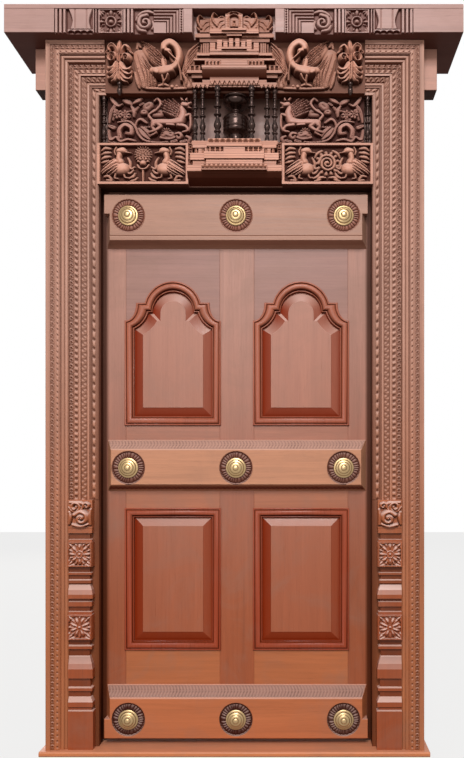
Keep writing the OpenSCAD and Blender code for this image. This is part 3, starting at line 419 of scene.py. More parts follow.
def rays(u, v, r0, r1, w, h, n, start=0.0, span=360.0):
    """n petals round a middle, from radius r0 to r1, thickest two thirds out."""
    turns = np.radians(start + span * (np.arange(n) / (n if span == 360 else max(n - 1, 1))))
    return [np.array([[u + r0 * math.cos(a), v + r0 * math.sin(a), w * 0.5, h * 0.8],
                      [u + (r0 + 2 * r1) / 3 * math.cos(a), v + (r0 + 2 * r1) / 3 * math.sin(a), w, h],
                      [u + r1 * math.cos(a), v + r1 * math.sin(a), w * 0.35, h * 0.5]]) for a in turns]


def corner_rays(u, v, half_u, half_v, r0, r1, w, h):
    """Three petals in each corner of a block round (u, v), which point to its middle."""
    corners = ((1, 1, 225), (-1, 1, 315), (1, -1, 135), (-1, -1, 45))
    return [petal for su, sv, turn in corners
            for petal in rays(u + half_u * su, v + half_v * sv, r0, r1, w, h, 3, turn - 30, 60)]


def grid(u0, u1, v0, v1, step_u, step_v=None):
    """Even places across and up in millimetres, and the two arrays of the grid that they make."""
    u, v = np.arange(u0, u1 + 0.1, step_u), np.arange(v0, v1 + 0.1, step_v or step_u)
    return u, v, *np.meshgrid(u, v, indexing="ij")


def blurred(h, cells):
    """The mean of h over a square of cells to each side."""
    for axis in (0, 1):
        pad = [(cells, cells) if k == axis else (0, 0) for k in (0, 1)]
        run = np.cumsum(np.insert(np.pad(h, pad, mode="edge"), 0, 0, axis), axis)
        n = 2 * cells + 1
        end = run.shape[axis]
        h = (np.take(run, range(n, end), axis) - np.take(run, range(end - n), axis)) / n
    return h


def relief(name, u, v, h, place, side, material, back=None, nodes=(), floor=0.6, body="frame"):
    """A carved face of height h over the grid u, v at place, with walls and a back, and painted shade that
    is darkest where it is low or below its surroundings, up to floor at its lowest. Only its raised cells
    stay, unless the depth of a back is given."""
    near, deep = blurred(h, 4), 1 - h / (0.8 * h.max())
    dark = np.clip(floor * np.clip(deep, 0, 1) ** 1.4 + 0.1 * np.clip(near - h, 0, 9), 0, 0.96)
    gu, gv = np.meshgrid(u, v, indexing="ij")
    top = np.stack([place[0] + side * gu, place[1] - h, place[2] + gv], -1).reshape(-1, 3)
    rear = top.copy()
    rear[:, 1] = place[1] + 0.3 if back is None else back
    quads = sheet(*h.shape)
    if back is None:
        quads = quads[(h.ravel()[quads] > 0.5).any(1)]
    n = h.size
    edge = quads[:, [0, 1, 1, 2, 2, 3, 3, 0]].reshape(-1, 2)
    rim = edge[~np.isin(edge[:, 0] * n + edge[:, 1], edge[:, 1] * n + edge[:, 0])]
    walls = np.stack([rim[:, 1], rim[:, 0], rim[:, 0] + n, rim[:, 1] + n], -1)
    faces = np.vstack([quads, quads[:, ::-1] + n, walls])
    used, faces = np.unique(faces, return_inverse=True)
    faces = faces.reshape(-1, 4)
    verts, shade = np.vstack([top, rear])[used], np.concatenate([dark.ravel(), dark.ravel()])[used]
    return surface(name, verts, faces, material, body, nodes, shade, crease=70)


# The foot's cushions, which slope up, take a strong painted pale reflection.
foot_wood = teak("teak_foot", "Z", "#93441f", "#c07a50", 4.1, shade_colour="#35140a", rough=(0.28, 0.4),
                 coat=0.2, ledge_sheen=0.75, steep=0.45)
u, v, gu, gv = grid(-42, 42, -43, 43, 0.9)
rim_cut = 8.0 * (np.maximum(np.abs(gu) - 38, np.abs(gv) - 39) > 0)
corners = corner_rays(0, 0, 43, 43, 4, 26, 5, 8)
knob = [[(0, 0, 7, 12)] * 2]
petals = rays(0, 0, 14, 36, 7, 9, 8) + rays(0, 0, 18, 30, 4, 11, 8) + rays(0, 0, 24, 40, 4, 8, 8, 22.5)
petals += corners + [coil(0, 0, 12, 0, 360, 3, 10, 1.0)] + knob
star = rays(0, 0, 5, 34, 7, 9, 8, 22.5) + rays(0, 0, 10, 30, 3, 11, 8, 22.5) + rays(0, 0, 20, 40, 4, 8, 8)
star += corners + knob
petal_block, star_block = (np.maximum(rim_cut, ridges(paths, u, v)) for paths in (petals, star))
scroll = [coil(6, -16, 26, 150, -560, 10, 17, 0.1), coil(-16, 24, 17, -60, 430, 7, 13),
          coil(24, 28, 13, 200, -400, 6, 12), [(-38, -34, 7, 9), (-34, -14, 9, 12), (-36, 4, 7, 9)],
          [(-34, 40, 6, 9), (-4, 40, 8, 11), (12, 34, 6, 9)],
          [(36, -36, 7, 9), (35, -8, 8, 12), (38, 14, 6, 9)],
          [(-24, -38, 7, 10), (4, -43, 8, 12), (28, -36, 6, 10)],
          [(-6, 4, 5, 9), (6, 14, 6, 11), (10, 26, 5, 9)], [(-30, 10, 5, 9), (-38, 22, 5, 9)],
          [(-2, -16, 4, 19), (4, -12, 4, 19)]]
scroll_v = np.arange(-46, 46.1, 0.9)
scroll_block = ridges(scroll, u, scroll_v, 0.2)
blocks = (("petals", v, petal_block, 704), ("star", v, star_block, 448),
          ("scroll", scroll_v, scroll_block, 846))
for hand, side in HANDS:
    # Painted shade on the foot, deeper the farther back a face lies.
    dressed(hand + "foot", "frame", foot_wood, 1.6, lambda x, y, z: 0.06 * np.clip(y - 9, 0, 9) * (y < 24))
    for label, up, h, z in blocks:
        relief(hand + "foot_" + label, u, up, h, (side * 544, 7.0, z), -side, foot_wood, floor=0.35)


# Shrine base and duck panels
# The lintel's face: a stepped teak base for the shrine between two carved panels, of
# ducks beside a lotus and beside a rose. Glued on the lintel, their low grounds
# darkened with painted shade.

carving = teak("teak_carving", "X", "#b07a64", "#cb917a", 6.3, rough=(0.38, 0.55), shade_colour="#341510")
shrine_base_wood = teak("teak_shrine", "X", "#b07d69", "#c88b72", 7.1, shade_colour="#3a150b", reeds=9.0)
# Painted shade on the shrine base, deeper the farther back a face lies.
dressed("shrine_base", "frame", shrine_base_wood, 0.6, lambda x, y, z: 0.03 * np.clip(y + 16, 0, 28))
u, v, gu, gv = grid(-112, 112, -8, 8, 1.0)
bead_row = 6.0 * np.sqrt(np.clip(1 - ((gu + 7.75) % 15.5 - 7.75) ** 2 / 36 - gv ** 2 / 42, 0, 1))
bead_row = np.maximum(bead_row + 1.5 * (np.abs(gv) > 6.6), 0.3)
relief("shrine_base_beads", u, v, bead_row, (0, -29.8, 2052), 1, shrine_base_wood, floor=0.6, back=-29.0)
u, v, gu, gv = grid(-90, 90, -6.5, 6.5, 1.0)
arches = np.maximum(4.0 * np.clip(np.hypot((gu + 10) % 20 - 10, gv + 6) / 6 - 1, 0, 1), 0.3)
relief("shrine_base_arches", u, v, arches, (0, -21.8, 2143), 1, shrine_base_wood, floor=0.85, back=-21.0)
u, v, gu, gv = grid(-7.5, 7.5, -54, 54, 0.75, 0.9)
links = 5.0 * np.exp(-((np.hypot(gu, (gv + 9) % 18 - 9) - 5.4) / 1.5) ** 2) + 3.0 * (np.abs(gu) > 6.9)
links = np.maximum(links, 0.3)
for hand, side in HANDS:
    relief(hand + "base_chain", u, v, links, (side * 156, 6.2, 2095), side, shrine_base_wood, floor=0.8,
           back=7.0)


def balusters(name, half, height, posts, middle, place, wood, r=5.0, tall=5.0):
    """A strip of half-round posts side by side between two thin rails, with a plain raised block of the
    half width middle in their midst."""
    u, v, gu, gv = grid(-half, half, 0, height, 1.0)
    swell = r * (0.75 + 0.25 * np.cos(4 * np.pi * gv / height))
    rows = [tall * np.sqrt(np.clip(1 - ((gu - c) / swell) ** 2, 0, 1)) for c in posts]
    rails = 0.8 * tall * (np.minimum(gv, height - gv) < 2.0)
    rows += [tall * (np.abs(gu) < middle), rails, np.full(gu.shape, 0.2)]
    relief(name, u, v, np.max(rows, axis=0), place, 1, wood, back=place[1] + 1.0, floor=0.8)


balusters("shrine_base_balusters", 91, 17, (-84, -66, -49, 49, 66, 84), 38, (0, -17.9, 2104.5),
          shrine_base_wood)
for hand, side in HANDS:
    place = (side * 116, -5.9, 2104.5)
    balusters(hand + "base_balusters", 23, 17, (-18, -6, 6, 18), 0, place, shrine_base_wood, 4.0)


def both_ways(paths):
    """The paths and their mirror images."""
    paths = [np.asarray(p, float) for p in paths]
    return paths + [p * np.array([-1, 1, 1, 1]) for p in paths]


duck = [[(-92, -15, 21, 16), (-78, -19, 24, 21), (-70, -17, 23, 21)],
        [(-80, 7, 14, 17), (-85, 19, 11, 18), (-82, 34, 12, 19)],
        [(-84, 44, 12, 20), (-72, 45, 15, 21), (-66, 43, 11, 19)],
        [(-60, 40, 5, 16), (-50, 39, 4, 14), (-42, 39, 3, 10)],
        [(-94, 58, 4, 13), (-100, 45, 4, 12), (-97, 33, 4, 11)],
        [(-95, -32, 5, 13), (-100, -48, 4, 11), (-90, -51, 4, 10)],
        [(-68, -34, 5, 13), (-63, -47, 4, 11), (-52, -49, 4, 10)],
        [(-54, 22, 4, 9), (-46, 7, 6, 12), (-44, -8, 5, 10)],
        [(-50, -4, 4, 9), (-42, -17, 6, 11), (-30, -10, 4, 9)],
        [(-28, -32, 4, 9), (-36, -45, 7, 12), (-48, -50, 5, 10)],
        [(-20, -48, 4, 9), (-30, -57, 6, 11), (-44, -59, 4, 9)],
        [(-34, -22, 4, 9), (-46, -33, 6, 11), (-56, -29, 3, 8)],
        [(-136, -44, 5, 9), (-122, -42, 7, 10), (-112, -54, 5, 9)], [(-128, -56, 5, 9), (-112, -58, 5, 9)],
        [(-116, 54, 6, 10), (-132, 55, 8, 12), (-145, 48, 5, 9)],
        [(-116, 40, 6, 10), (-132, 38, 8, 13), (-145, 34, 5, 9)],
        [(-118, 26, 6, 10), (-134, 23, 8, 12), (-145, 18, 5, 9)],
        [(-122, 12, 5, 9), (-136, 7, 7, 11), (-146, 5, 4, 8)]]
duck_feathers = [[(-94, 3, 12, 21), (-116, -11, 10, 20), (-136, -22, 7, 15), (-147, -29, 4, 10)],
                 [(-90, -7, 9, 22), (-112, -19, 7, 21), (-132, -28, 5, 15), (-144, -35, 3, 10)],
                 [(-88, -15, 8, 22), (-108, -27, 6, 20), (-128, -36, 3, 12)],
                 [(-86, -23, 7, 21), (-102, -33, 5, 18), (-116, -39, 3, 11)],
                 [(-98, 12, 7, 19), (-118, 1, 6, 18), (-138, -11, 4, 12)]]
lotus = [[(-8, 34, 26, 8), (8, 34, 26, 8)], [(0, 3, 12, 16)] * 2, [(0, -20, 5, 13), (0, -62, 4, 11)],
         [(-20, -3, 4, 11), (-13, -14, 4, 13), (0, -19, 5, 15), (13, -14, 4, 13), (20, -3, 4, 11)]]
lotus += rays(0, 33, 4, 11, 3, 13, 6) + rays(0, 33, 13, 21, 3, 12, 13) + rays(0, 33, 23, 32, 3, 11, 20)
lotus += rays(0, 3, 12, 22, 5, 12, 5, 20, 140)
rose = [coil(0, 2, 32, 0, 860, 7, 12, 0.12), [(0, 2, 8, 19)] * 2] + rays(0, 2, 30, 42, 7, 10, 13)
rose += both_ways([[(8, -48, 5, 11), (24, -48, 7, 12), (38, -58, 5, 9)],
                   [(20, 46, 6, 10), (36, 36, 7, 11), (44, 22, 4, 8)]])
u, v, gu, gv = grid(-160, 160, -72, 72, 1.25)
edge = np.minimum(160 - np.abs(gu), 72 - np.abs(gv))
frame_edge = 15 * np.clip((11 - edge) / 2.5, 0, 1)
for name, side, middle in (("left_duck_panel", 1, lotus), ("right_duck_panel", -1, rose)):
    lo, hi = (np.array(c) * 1000 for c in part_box(name))
    figures, feathers = both_ways(duck) + middle, both_ways(duck_feathers)
    h = np.maximum(ridges(figures, u, v), ridges(feathers, u, v, 0.35, 6.0))
    relief(name + "_carved", u, v, np.maximum(h, frame_edge), (side * -325, 24.0, 0.5 * (lo[2] + hi[2])),
           side, carving, back=hi[1], nodes=(name,), floor=0.92)


# Beast panels
# Two teak boards let in beside the shrine, carved in high relief: a winged beast that
# looks to the shrine, before a flowering vine.

beast = [[(17, -6, 15, 24), (43, -5, 14, 26), (81, -5, 14, 26), (109, -2, 17, 28)],
         [(111, 0, 17, 27), (120, 24, 15, 28), (115, 44, 12, 27)], [(122, 55, 13, 30), (132, 54, 12, 29)],
         [(140, 59, 7, 26), (148, 65, 4, 20)], [(133, 47, 6, 24), (147, 47, 4, 18)],
         [(119, 72, 5, 25), (112, 83, 4, 18)], [(131, 72, 5, 25), (134, 83, 3, 18)],
         [(99, 48, 5, 25), (91, 57, 4, 22)], [(101, 37, 5, 26), (91, 43, 4, 22)],
         [(33, -10, 13, 25), (40, -20, 10, 23), (24, -32, 8, 21), (-2, -38, 6, 15)],
         [(17, -10, 13, 24), (11, -22, 8, 20), (24, -39, 6, 18), (6, -48, 5, 13)],
         [(103, -14, 11, 25), (129, -20, 8, 23), (137, -34, 7, 21), (118, -37, 5, 16)],
         [(115, 10, 9, 25), (141, 22, 7, 23), (146, 14, 6, 21), (146, -18, 6, 19), (136, -38, 5, 14)],
         [(8, 6, 7, 19), (-2, 23, 6, 18), (24, 40, 6, 19), (40, 62, 6, 19), (29, 80, 6, 17),
          (17, 73, 5, 14)], [(63, -14, 6, 25), (87, -16, 6, 25)]]
wings = [[(102, 26, 8, 31), (73, 47, 7, 30), (44, 69, 4, 20)],
         [(105, 32, 8, 31), (80, 51, 7, 30), (54, 73, 4, 20)],
         [(108, 38, 8, 31), (88, 55, 7, 30), (66, 77, 4, 20)],
         [(110, 45, 8, 30), (97, 60, 6, 29), (82, 80, 3, 19)],
         [(100, 21, 8, 30), (69, 40, 7, 29), (42, 60, 4, 19)],
         [(99, 14, 8, 30), (69, 30, 7, 29), (44, 48, 4, 19)],
         [(96, 8, 8, 28), (71, 20, 7, 27), (48, 35, 4, 18)]]
vine = [[(-106, -56, 10, 17), (-108, -30, 11, 19), (-88, -12, 11, 20), (-65, -23, 10, 20),
         (-65, -44, 9, 19), (-83, -42, 7, 17)],
        [(-146, -30, 6, 12), (-139, -62, 8, 15), (-119, -54, 6, 15), (-104, -69, 7, 16),
         (-79, -62, 7, 15), (-54, -66, 6, 13)],
        [(-112, -1, 5, 14), (-74, 1, 6, 16), (-51, -18, 6, 17), (-40, -44, 6, 17), (-18, -66, 6, 16),
         (26, -73, 5, 14), (63, -70, 4, 12)],
        [(-51, -16, 5, 15), (-46, 0, 6, 15), (-32, 9, 8, 16), (-12, -2, 6, 13)],
        [(-38, -24, 6, 13), (-22, -44, 11, 15), (-3, -60, 6, 12)],
        [(-29, -18, 6, 12), (-10, -33, 9, 14), (1, -50, 5, 11)],
        [(-138, 85, 6, 14), (-126, 68, 9, 17), (-112, 56, 7, 17), (-98, 64, 5, 13)],
        [(-120, 58, 8, 16), (-134, 40, 8, 16), (-141, 17, 7, 14), (-144, -2, 5, 12)],
        [(-126, 52, 6, 13), (-122, 36, 6, 13), (-131, 8, 5, 11)],
        [(-92, 76, 8, 13), (-78, 70, 12, 15), (-67, 64, 8, 12)],
        [(-56, 67, 7, 14), (-42, 74, 11, 17), (-30, 82, 6, 13)], [(-10, 54, 18, 13), (-2, 60, 16, 13)],
        [(-22, 35, 13, 14), (-18, 35, 13, 14)], [(-65, 56, 5, 12), (-55, 38, 9, 16), (-56, 20, 6, 13)],
        [(-41, 52, 5, 12), (-54, 38, 7, 15), (-71, 38, 5, 12)], [(-144, -14, 8, 12), (-130, -20, 10, 13)],
        [(19, 32, 18, 12), (35, 32, 18, 12)], [(50, -44, 14, 13), (60, -40, 14, 15), (76, -45, 14, 14)],
        [(41, -54, 8, 12), (68, -58, 9, 13), (86, -54, 8, 13)],
        [(94, -42, 7, 16), (106, -41, 8, 18), (114, -51, 7, 18), (104, -61, 7, 18), (96, -53, 6, 18)],
        [(78, -70, 7, 13), (94, -67, 8, 14)], [(112, -71, 8, 14), (130, -66, 7, 13)],
        [(131, -50, 6, 12), (144, -59, 8, 14), (137, -74, 6, 12)],
        [(-145, -80, 5, 9), (-99, -84, 6, 11), (-59, -81, 5, 10), (-19, -84, 6, 11), (31, -83, 5, 10)],
        [(61, -84, 6, 11), (101, -84, 6, 11), (147, -82, 5, 9)], [(-35, 61, 6, 10), (-25, 67, 6, 10)],
        [(-99, 9, 6, 10), (-85, 12, 7, 12)], [(-145, -67, 6, 10), (-127, -74, 7, 11)],
        [(-17, -18, 6, 11), (-3, -17, 5, 10)], [(-71, 19, 5, 10), (-83, 11, 5, 10)]]
vine += rays(-114, 27, 4, 17, 6, 15, 7) + [[(-114, 26, 6, 18)] * 2] + rays(-86, 26, 4, 16, 6, 15, 7)
vine += [[(-86, 25, 5, 17)] * 2] + rays(60, -40, 6, 20, 4, 17, 7, 0, 180)
u, v, *_ = grid(-151, 151, -89.5, 89.5, 1.25)
wing_and_vine = np.maximum(ridges(wings, u, v, 0.35, 5.0), ridges(vine, u, v, 0.2, 0.0, 0.3))
beast_face = np.maximum(ridges(beast, u, v, power=3.0), wing_and_vine)
beast_wood = teak("teak_beast", "X", "#a06d5c", "#b48071", 8.7, rough=(0.38, 0.55), shade_colour="#321511")
for name, side in (("left_beast_panel", 1), ("right_beast_panel", -1)):
    lo, hi = (np.array(c) * 1000 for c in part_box(name))
    relief(name + "_carved", u, v, beast_face, (side * -307, 52.0, 2239.5), side, beast_wood, back=hi[1],
           nodes=(name,), floor=0.94)


# Turned posts and drops
# Hardwood turned on a lathe and finished in black lacquer: the pot-shaped post of the
# shrine, eight slim colonnettes and two drops under the brackets.

# Black lacquer on hardwood: near black with a soft warm gloss, browner and duller in worn clouds.
# There are 60 clouds to the metre, each about 17 mm wide.
lacquer = bpy.data.materials.new("black_lacquer_on_hardwood")
tree = emptied(lacquer)
at = put(tree, "TexCoord").outputs["Object"]
cloud = put(tree, "TexNoise", {"Vector": at, "Scale": 60.0, "Detail": 3.0}).outputs["Fac"]
worn = put(tree, "Mix", {0: cloud, 6: linear("#110907"), 7: linear("#241511")}, data_type="RGBA")
dull = put(tree, "MapRange", {"Value": cloud, "From Min": 0.3, "From Max": 0.7,
                              "To Min": 0.16, "To Max": 0.32})
skin = put(tree, "BsdfPrincipled", {"Base Color": worn.outputs[2], "Roughness": dull.outputs[0],
                                    "Specular IOR Level": 0.5, "Specular Tint": linear("#ffd3c6")})
put(tree, "OutputMaterial", {"Surface": skin.outputs[0]})


def hoops(k):
    """Quads between each two neighbouring closed rows of an array of point numbers."""
    return np.stack([k[:-1], np.roll(k[:-1], -1, 1), np.roll(k[1:], -1, 1), k[1:]], -1).reshape(-1, 4)


def lathe(profile, place, n=40, axis="Z"):
    """A profile of (radius, height) turned round an axis through place; its ends lie on the axis."""
    p = np.asarray(profile, float)
    a = np.linspace(0, 2 * np.pi, n, endpoint=False)
    r, z, turn = np.clip(p[:, 0], 0, None)[:, None], p[:, 1][:, None] + 0 * a, a[None, :]
    x, y = r * np.cos(turn), r * np.sin(turn)
    pts = np.stack([x, y, z], -1) if axis == "Z" else np.stack([x, -z, y], -1)
    quads = hoops(np.arange(len(p) * n).reshape(len(p), n))
    return pts.reshape(-1, 3) + np.asarray(place, float), quads


def rounded(profile, n=4):
    """The profile through smooth curves, with its two end flats kept."""
    p = np.asarray(profile, float)
    return np.vstack([p[:1], curve(p[1:-1], n), p[-1:]])


slim = np.array([(0, 0), (.92, 0), (.88, .03), (.62, .09), (.5, .135), (.85, .15), (.97, .168), (.8, .186),
                 (.5, .2), (.72, .225), (.98, .265), (1, .29), (.84, .335), (.56, .39), (.44, .445),
                 (.6, .456), (1, .468), (1, .492), (.55, .505), (.5, .53), (.56, .56), (.46, .6),
                 (.6, .608), (1, .62), (.96, .645), (.56, .658), (.62, .69), (.52, .737), (.4, .79),
                 (.5, .802), (.78, .815), (.76, .835), (.56, .85), (.72, .865), (.68, .885), (.46, .905),
                 (.86, .93), (.9, .96), (.8, 1), (0, 1)])
for name, x, y, r in (("inner", 59.5, -8, 13), ("mid", 113, 4, 10.5), ("outer", 140, 6, 10.5),
                      ("end", 469, 43, 9.5)):
    for hand, side in HANDS:
        node = hand + name + "_colonnette"
        lo, hi = (np.array(c) * 1000 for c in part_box(node))
        pts, quads = lathe(rounded(slim * [r, hi[2] - lo[2]]), (side * x, y, lo[2]), 28)
        surface(node + "_turned", pts, quads, lacquer, "frame", (node,), crease=60)
pot = [(0, 0), (38, 0), (38, 6), (30, 12), (26, 24), (27, 36), (34, 44), (44, 50), (46, 58), (44, 62),
       (46, 66), (46, 84), (44, 92), (46, 97), (43, 102), (30, 108), (18, 114), (14, 121), (18, 127),
       (13, 133), (24, 138), (38, 145), (45, 154), (45, 161), (39, 165), (45, 169), (44, 175), (20, 179),
       (0, 179)]
pts, quads = lathe(rounded(pot), (0, 46, 2150), 56)
surface("centre_post_turned", pts, quads, lacquer, "frame", ("centre_post",), crease=60)
drop = [(0, 0), (9, 0), (9, -6), (5, -9), (4, -14), (8, -20), (9, -28), (7, -36), (3, -42), (0, -45)]
for hand, side in HANDS:
    node = hand + "pendant"
    pts, quads = lathe(rounded(drop), (side * 405, 6, 2358), 28)
    surface(node + "_turned", pts, quads, lacquer, "frame", (node,), crease=60)


# Shrine canopy and crown
# Stepped roofs over small niches, built up from teak slips, under a leafy crown that
# stands in the cornice's notch. Glued to the plank over the doorway.

shrine_wood = teak("teak_canopy", "X", "#a97560", "#b67c65", 9.4, shade_colour="#3a150b", reeds=8.0)


def canopy_painted_shade(x, y, z):
    """Painted shade on the canopy: more the deeper it lies, and on the slope under its steps, darkest at its
    lower edge.
    """
    slope_shade = 0.8 * (np.abs(z - 2367) < 0.9) + 0.5 * (np.abs(z - 2389) < 0.9)
    return 0.045 * np.clip(y + 16, 0, 22) + (np.abs(x) < 113) * slope_shade


dressed("shrine_canopy", "frame", shrine_wood, 0.6, canopy_painted_shade)
for hand, side in HANDS:
    niches, ends = (side * 75, -15.9, 2403.5), (side * 139, -3.9, 2390.5)
    balusters(hand + "canopy_niches", 28, 21, (-26, -13, -1, 11, 25), 0, niches, shrine_wood, 4.0, 5.5)
    balusters(hand + "canopy_end_niches", 18, 21, (-16, 0, 16), 0, ends, shrine_wood, 4.0, 6.0)
u, v, gu, gv = grid(-134, 134, 0, 63, 1.2)
crown = both_ways([[(60, 14, 7, 30), (72, 28, 6, 32), (77, 44, 6, 33), (70, 57, 5, 33), (60, 52, 4, 29)],
                   [(116, 12, 7, 20), (126, 30, 6, 22), (128, 44, 6, 22), (121, 55, 5, 22),
                    (111, 50, 4, 18)], [(76, 10, 6, 27), (84, 24, 4, 25)],
                   [(78, 26, 5, 26), (84, 38, 3, 24)], [(124, 8, 6, 17), (133, 20, 4, 15)],
                   [(124, 24, 5, 17), (133, 36, 3, 15)], [(88, 45, 6, 15), (106, 47, 5, 15)],
                   [(34, 45, 6, 25), (44, 49, 6, 26), (54, 45, 5, 25)],
                   [(20, 8, 6, 36), (20, 34, 5, 37), (12, 46, 5, 37), (0, 50, 5, 37)],
                   [(26, 50, 5, 35), (12, 56, 5, 37), (0, 57, 5, 38)],
                   [(38, 34, 5, 27), (50, 30, 4, 28), (56, 20, 4, 27)],
                   [(34, 22, 5, 27), (44, 16, 4, 28), (50, 6, 4, 26)],
                   [(92, 36, 5, 17), (102, 32, 4, 18), (110, 22, 4, 17)],
                   [(90, 22, 5, 17), (98, 16, 4, 18), (106, 6, 4, 16)]])
crown += [[(0, 30, 8, 33)] * 2, [(0, 12, 10, 33), (0, 20, 8, 33)], [(-12, 10, 4, 32), (12, 10, 4, 32)]]
out = np.abs(gu)
flats = np.select([out < 15, out < 30, out < 84, out < 122], [26.0, 34.0, 24.0, 14.0], 0.0)
flats = flats * (gv < np.where(out < 30, 52, 44))
crown_face = np.maximum(ridges(crown, u, v), flats)
relief("shrine_crown_carved", u, v, crown_face, (0, 4, 2527), 1, shrine_wood, nodes=("shrine_crown",),
       floor=0.8)


# Birds and leaf brackets
# Carved in the round from thick teak and pegged to the plank: a swan with raised wings
# at each side of the shrine and a bracket of curled acanthus beyond it.

bird = [[(-40, -26, 15, 32), (-24, -30, 20, 36), (-3, -30, 22, 40), (23, -24, 19, 40)],
        [(17, -24, 17, 38), (39, -13, 15, 40), (50, 6, 14, 42), (53, 28, 14, 44), (44, 50, 16, 46),
         (23, 64, 18, 47), (5, 56, 18, 47), (1, 43, 13, 47)], [(10, 37, 11, 46), (18, 35, 11, 46)],
        [(25, 22, 10, 26), (33, 8, 10, 26)],
        [(14, 33, 5, 45), (30, 18, 4, 44), (46, 2, 4, 43), (54, -20, 4, 38), (57, -38, 4, 30),
         (58, -55, 5, 22)],
        [(-5, 10, 8, 32), (0, -14, 10, 36)], [(-29, -35, 14, 46), (-23, -38, 14, 46)],
        [(14, -44, 5, 38), (8, -55, 4, 33), (-1, -64, 4, 28)],
        [(-6, -48, 5, 36), (-3, -62, 4, 29), (-5, -74, 4, 22)],
        [(-21, -73, 6, 16), (-2, -70, 7, 20), (11, -73, 6, 16)], [(25, -76, 8, 18), (26, -76, 8, 18)],
        [(41, -73, 6, 15), (42, -73, 6, 15)], [(-65, -79, 6, 12), (1, -81, 6, 12), (71, -79, 6, 12)],
        [(-99, 60, 5, 10), (-95, 77, 7, 12), (-87, 66, 5, 10)],
        [(-90, 36, 24, 10), (-76, -20, 28, 13), (-70, -60, 22, 12)], [(-60, 56, 22, 12), (-24, 18, 26, 18)],
        [(98, 44, 22, 12), (82, -10, 24, 16), (82, -62, 20, 11)]]
plumes = [[(0, 11, 9, 30), (-27, 42, 8, 30), (-50, 63, 6, 24), (-81, 84, 3, 13)],
          [(2, 5, 8, 30), (-25, 29, 7, 30), (-50, 52, 6, 24), (-77, 74, 3, 13)],
          [(3, -3, 8, 31), (-23, 16, 7, 31), (-48, 40, 6, 26), (-73, 65, 3, 13)],
          [(3, -10, 8, 31), (-23, 6, 7, 31), (-45, 29, 6, 26), (-69, 56, 3, 13)],
          [(3, -16, 8, 31), (-22, -4, 7, 31), (-42, 15, 6, 26), (-63, 42, 3, 13)],
          [(3, -22, 8, 31), (-20, -13, 7, 31), (-38, 2, 6, 26), (-57, 28, 3, 13)],
          [(-26, -22, 8, 28), (-44, -17, 8, 27), (-62, 4, 6, 22), (-81, 34, 3, 13)],
          [(-32, -27, 7, 26), (-54, -22, 7, 25), (-74, 0, 6, 20), (-93, 33, 3, 12)],
          [(-104, 22, 4, 13), (-90, -20, 8, 20), (-78, -53, 9, 19), (-75, -76, 6, 13)],
          [(-94, 40, 4, 14), (-76, -9, 8, 22), (-64, -45, 8, 22), (-65, -78, 5, 14)],
          [(-58, -20, 7, 24), (-52, -44, 8, 25), (-56, -78, 5, 14)],
          [(-44, -33, 7, 26), (-44, -56, 7, 24), (-46, -78, 4, 14)],
          [(-36, -41, 7, 26), (-34, -61, 7, 23), (-37, -78, 4, 14)],
          [(-105, -24, 5, 14), (-97, -55, 8, 16), (-91, -77, 5, 12)],
          [(74, 8, 8, 28), (82, 32, 7, 27), (97, 56, 6, 24), (118, 80, 3, 13)],
          [(73, 0, 8, 28), (84, 22, 7, 28), (99, 44, 6, 24), (118, 68, 3, 13)],
          [(72, -10, 8, 29), (84, 12, 7, 28), (99, 33, 6, 24), (116, 57, 3, 13)],
          [(72, -18, 8, 28), (84, 2, 7, 27), (98, 25, 5, 23), (113, 47, 3, 13)],
          [(73, -26, 7, 28), (86, -5, 6, 26), (99, 15, 5, 22), (109, 36, 3, 13)],
          [(74, -33, 7, 26), (90, -12, 6, 24), (103, 16, 3, 13)],
          [(64, -32, 7, 25), (76, -57, 7, 22), (71, -80, 4, 13)],
          [(80, -37, 6, 22), (92, -55, 6, 19), (93, -77, 4, 12)]]
leafy = [[(8, 27, 9, 22), (12, 41, 9, 30), (22, 50, 9, 34), (33, 45, 8, 32), (34, 36, 6, 28)],
         [(38, 35, 7, 22), (44, 29, 6, 22)], [(22, 16, 21, 24), (24, 16, 21, 24)],
         [(10, 6, 5, 31), (16, 18, 6, 34), (28, 20, 6, 34), (36, 8, 6, 34), (30, -2, 6, 33),
          (20, -1, 5, 33), (18, 7, 5, 34), (24, 10, 5, 36)],
         [(7, -9, 11, 26), (18, -29, 11, 32), (31, -31, 8, 30), (40, -22, 5, 24)],
         [(10, -28, 9, 28), (25, -45, 9, 31), (38, -46, 6, 27), (44, -34, 4, 20)],
         [(8, -43, 8, 27), (22, -61, 8, 29), (35, -62, 6, 25), (42, -51, 4, 18)],
         [(6, -55, 7, 26), (15, -69, 7, 26), (26, -71, 5, 20)]]
leafy_stem = [[(0, 25, 10, 26), (0, 40, 11, 35), (1, 58, 10, 31), (2, 69, 7, 22)],
              [(0, -11, 8, 30), (0, -43, 8, 36), (0, -64, 8, 34), (0, -69, 5, 26)],
              [(0, 17, 6, 33), (0, -4, 7, 34)]]
leafy = both_ways(leafy) + leafy_stem
u, v, *_ = grid(-112, 123, -91, 87, 1.15)
bird_face = np.maximum(ridges(bird, u, v, power=3.6), ridges(plumes, u, v, 0.35, 5.5, 0.2))
leaf_u, leaf_v, *_ = grid(-52, 52, -76, 76, 1.0)
leaf_face = ridges(leafy, leaf_u, leaf_v, 0.25, 0.0, 0.25, 2.8)
for hand, side in HANDS:
    relief(hand + "bird_carved", u, v, bird_face, (side * 246, 18, 2421), -side, carving,
           nodes=(hand + "bird",), floor=0.5)
    relief(hand + "leaf_bracket_carved", leaf_u, leaf_v, leaf_face, (side * 405, 18, 2432), -side, carving,
           nodes=(hand + "leaf_bracket",), floor=0.3)


# Cornice
# One deep teak beam, notched in the middle for the shrine's crown. Its face is sunk between
# plain ends and carved with fillets, a draped block, a flower, a volute and stepped reeds.

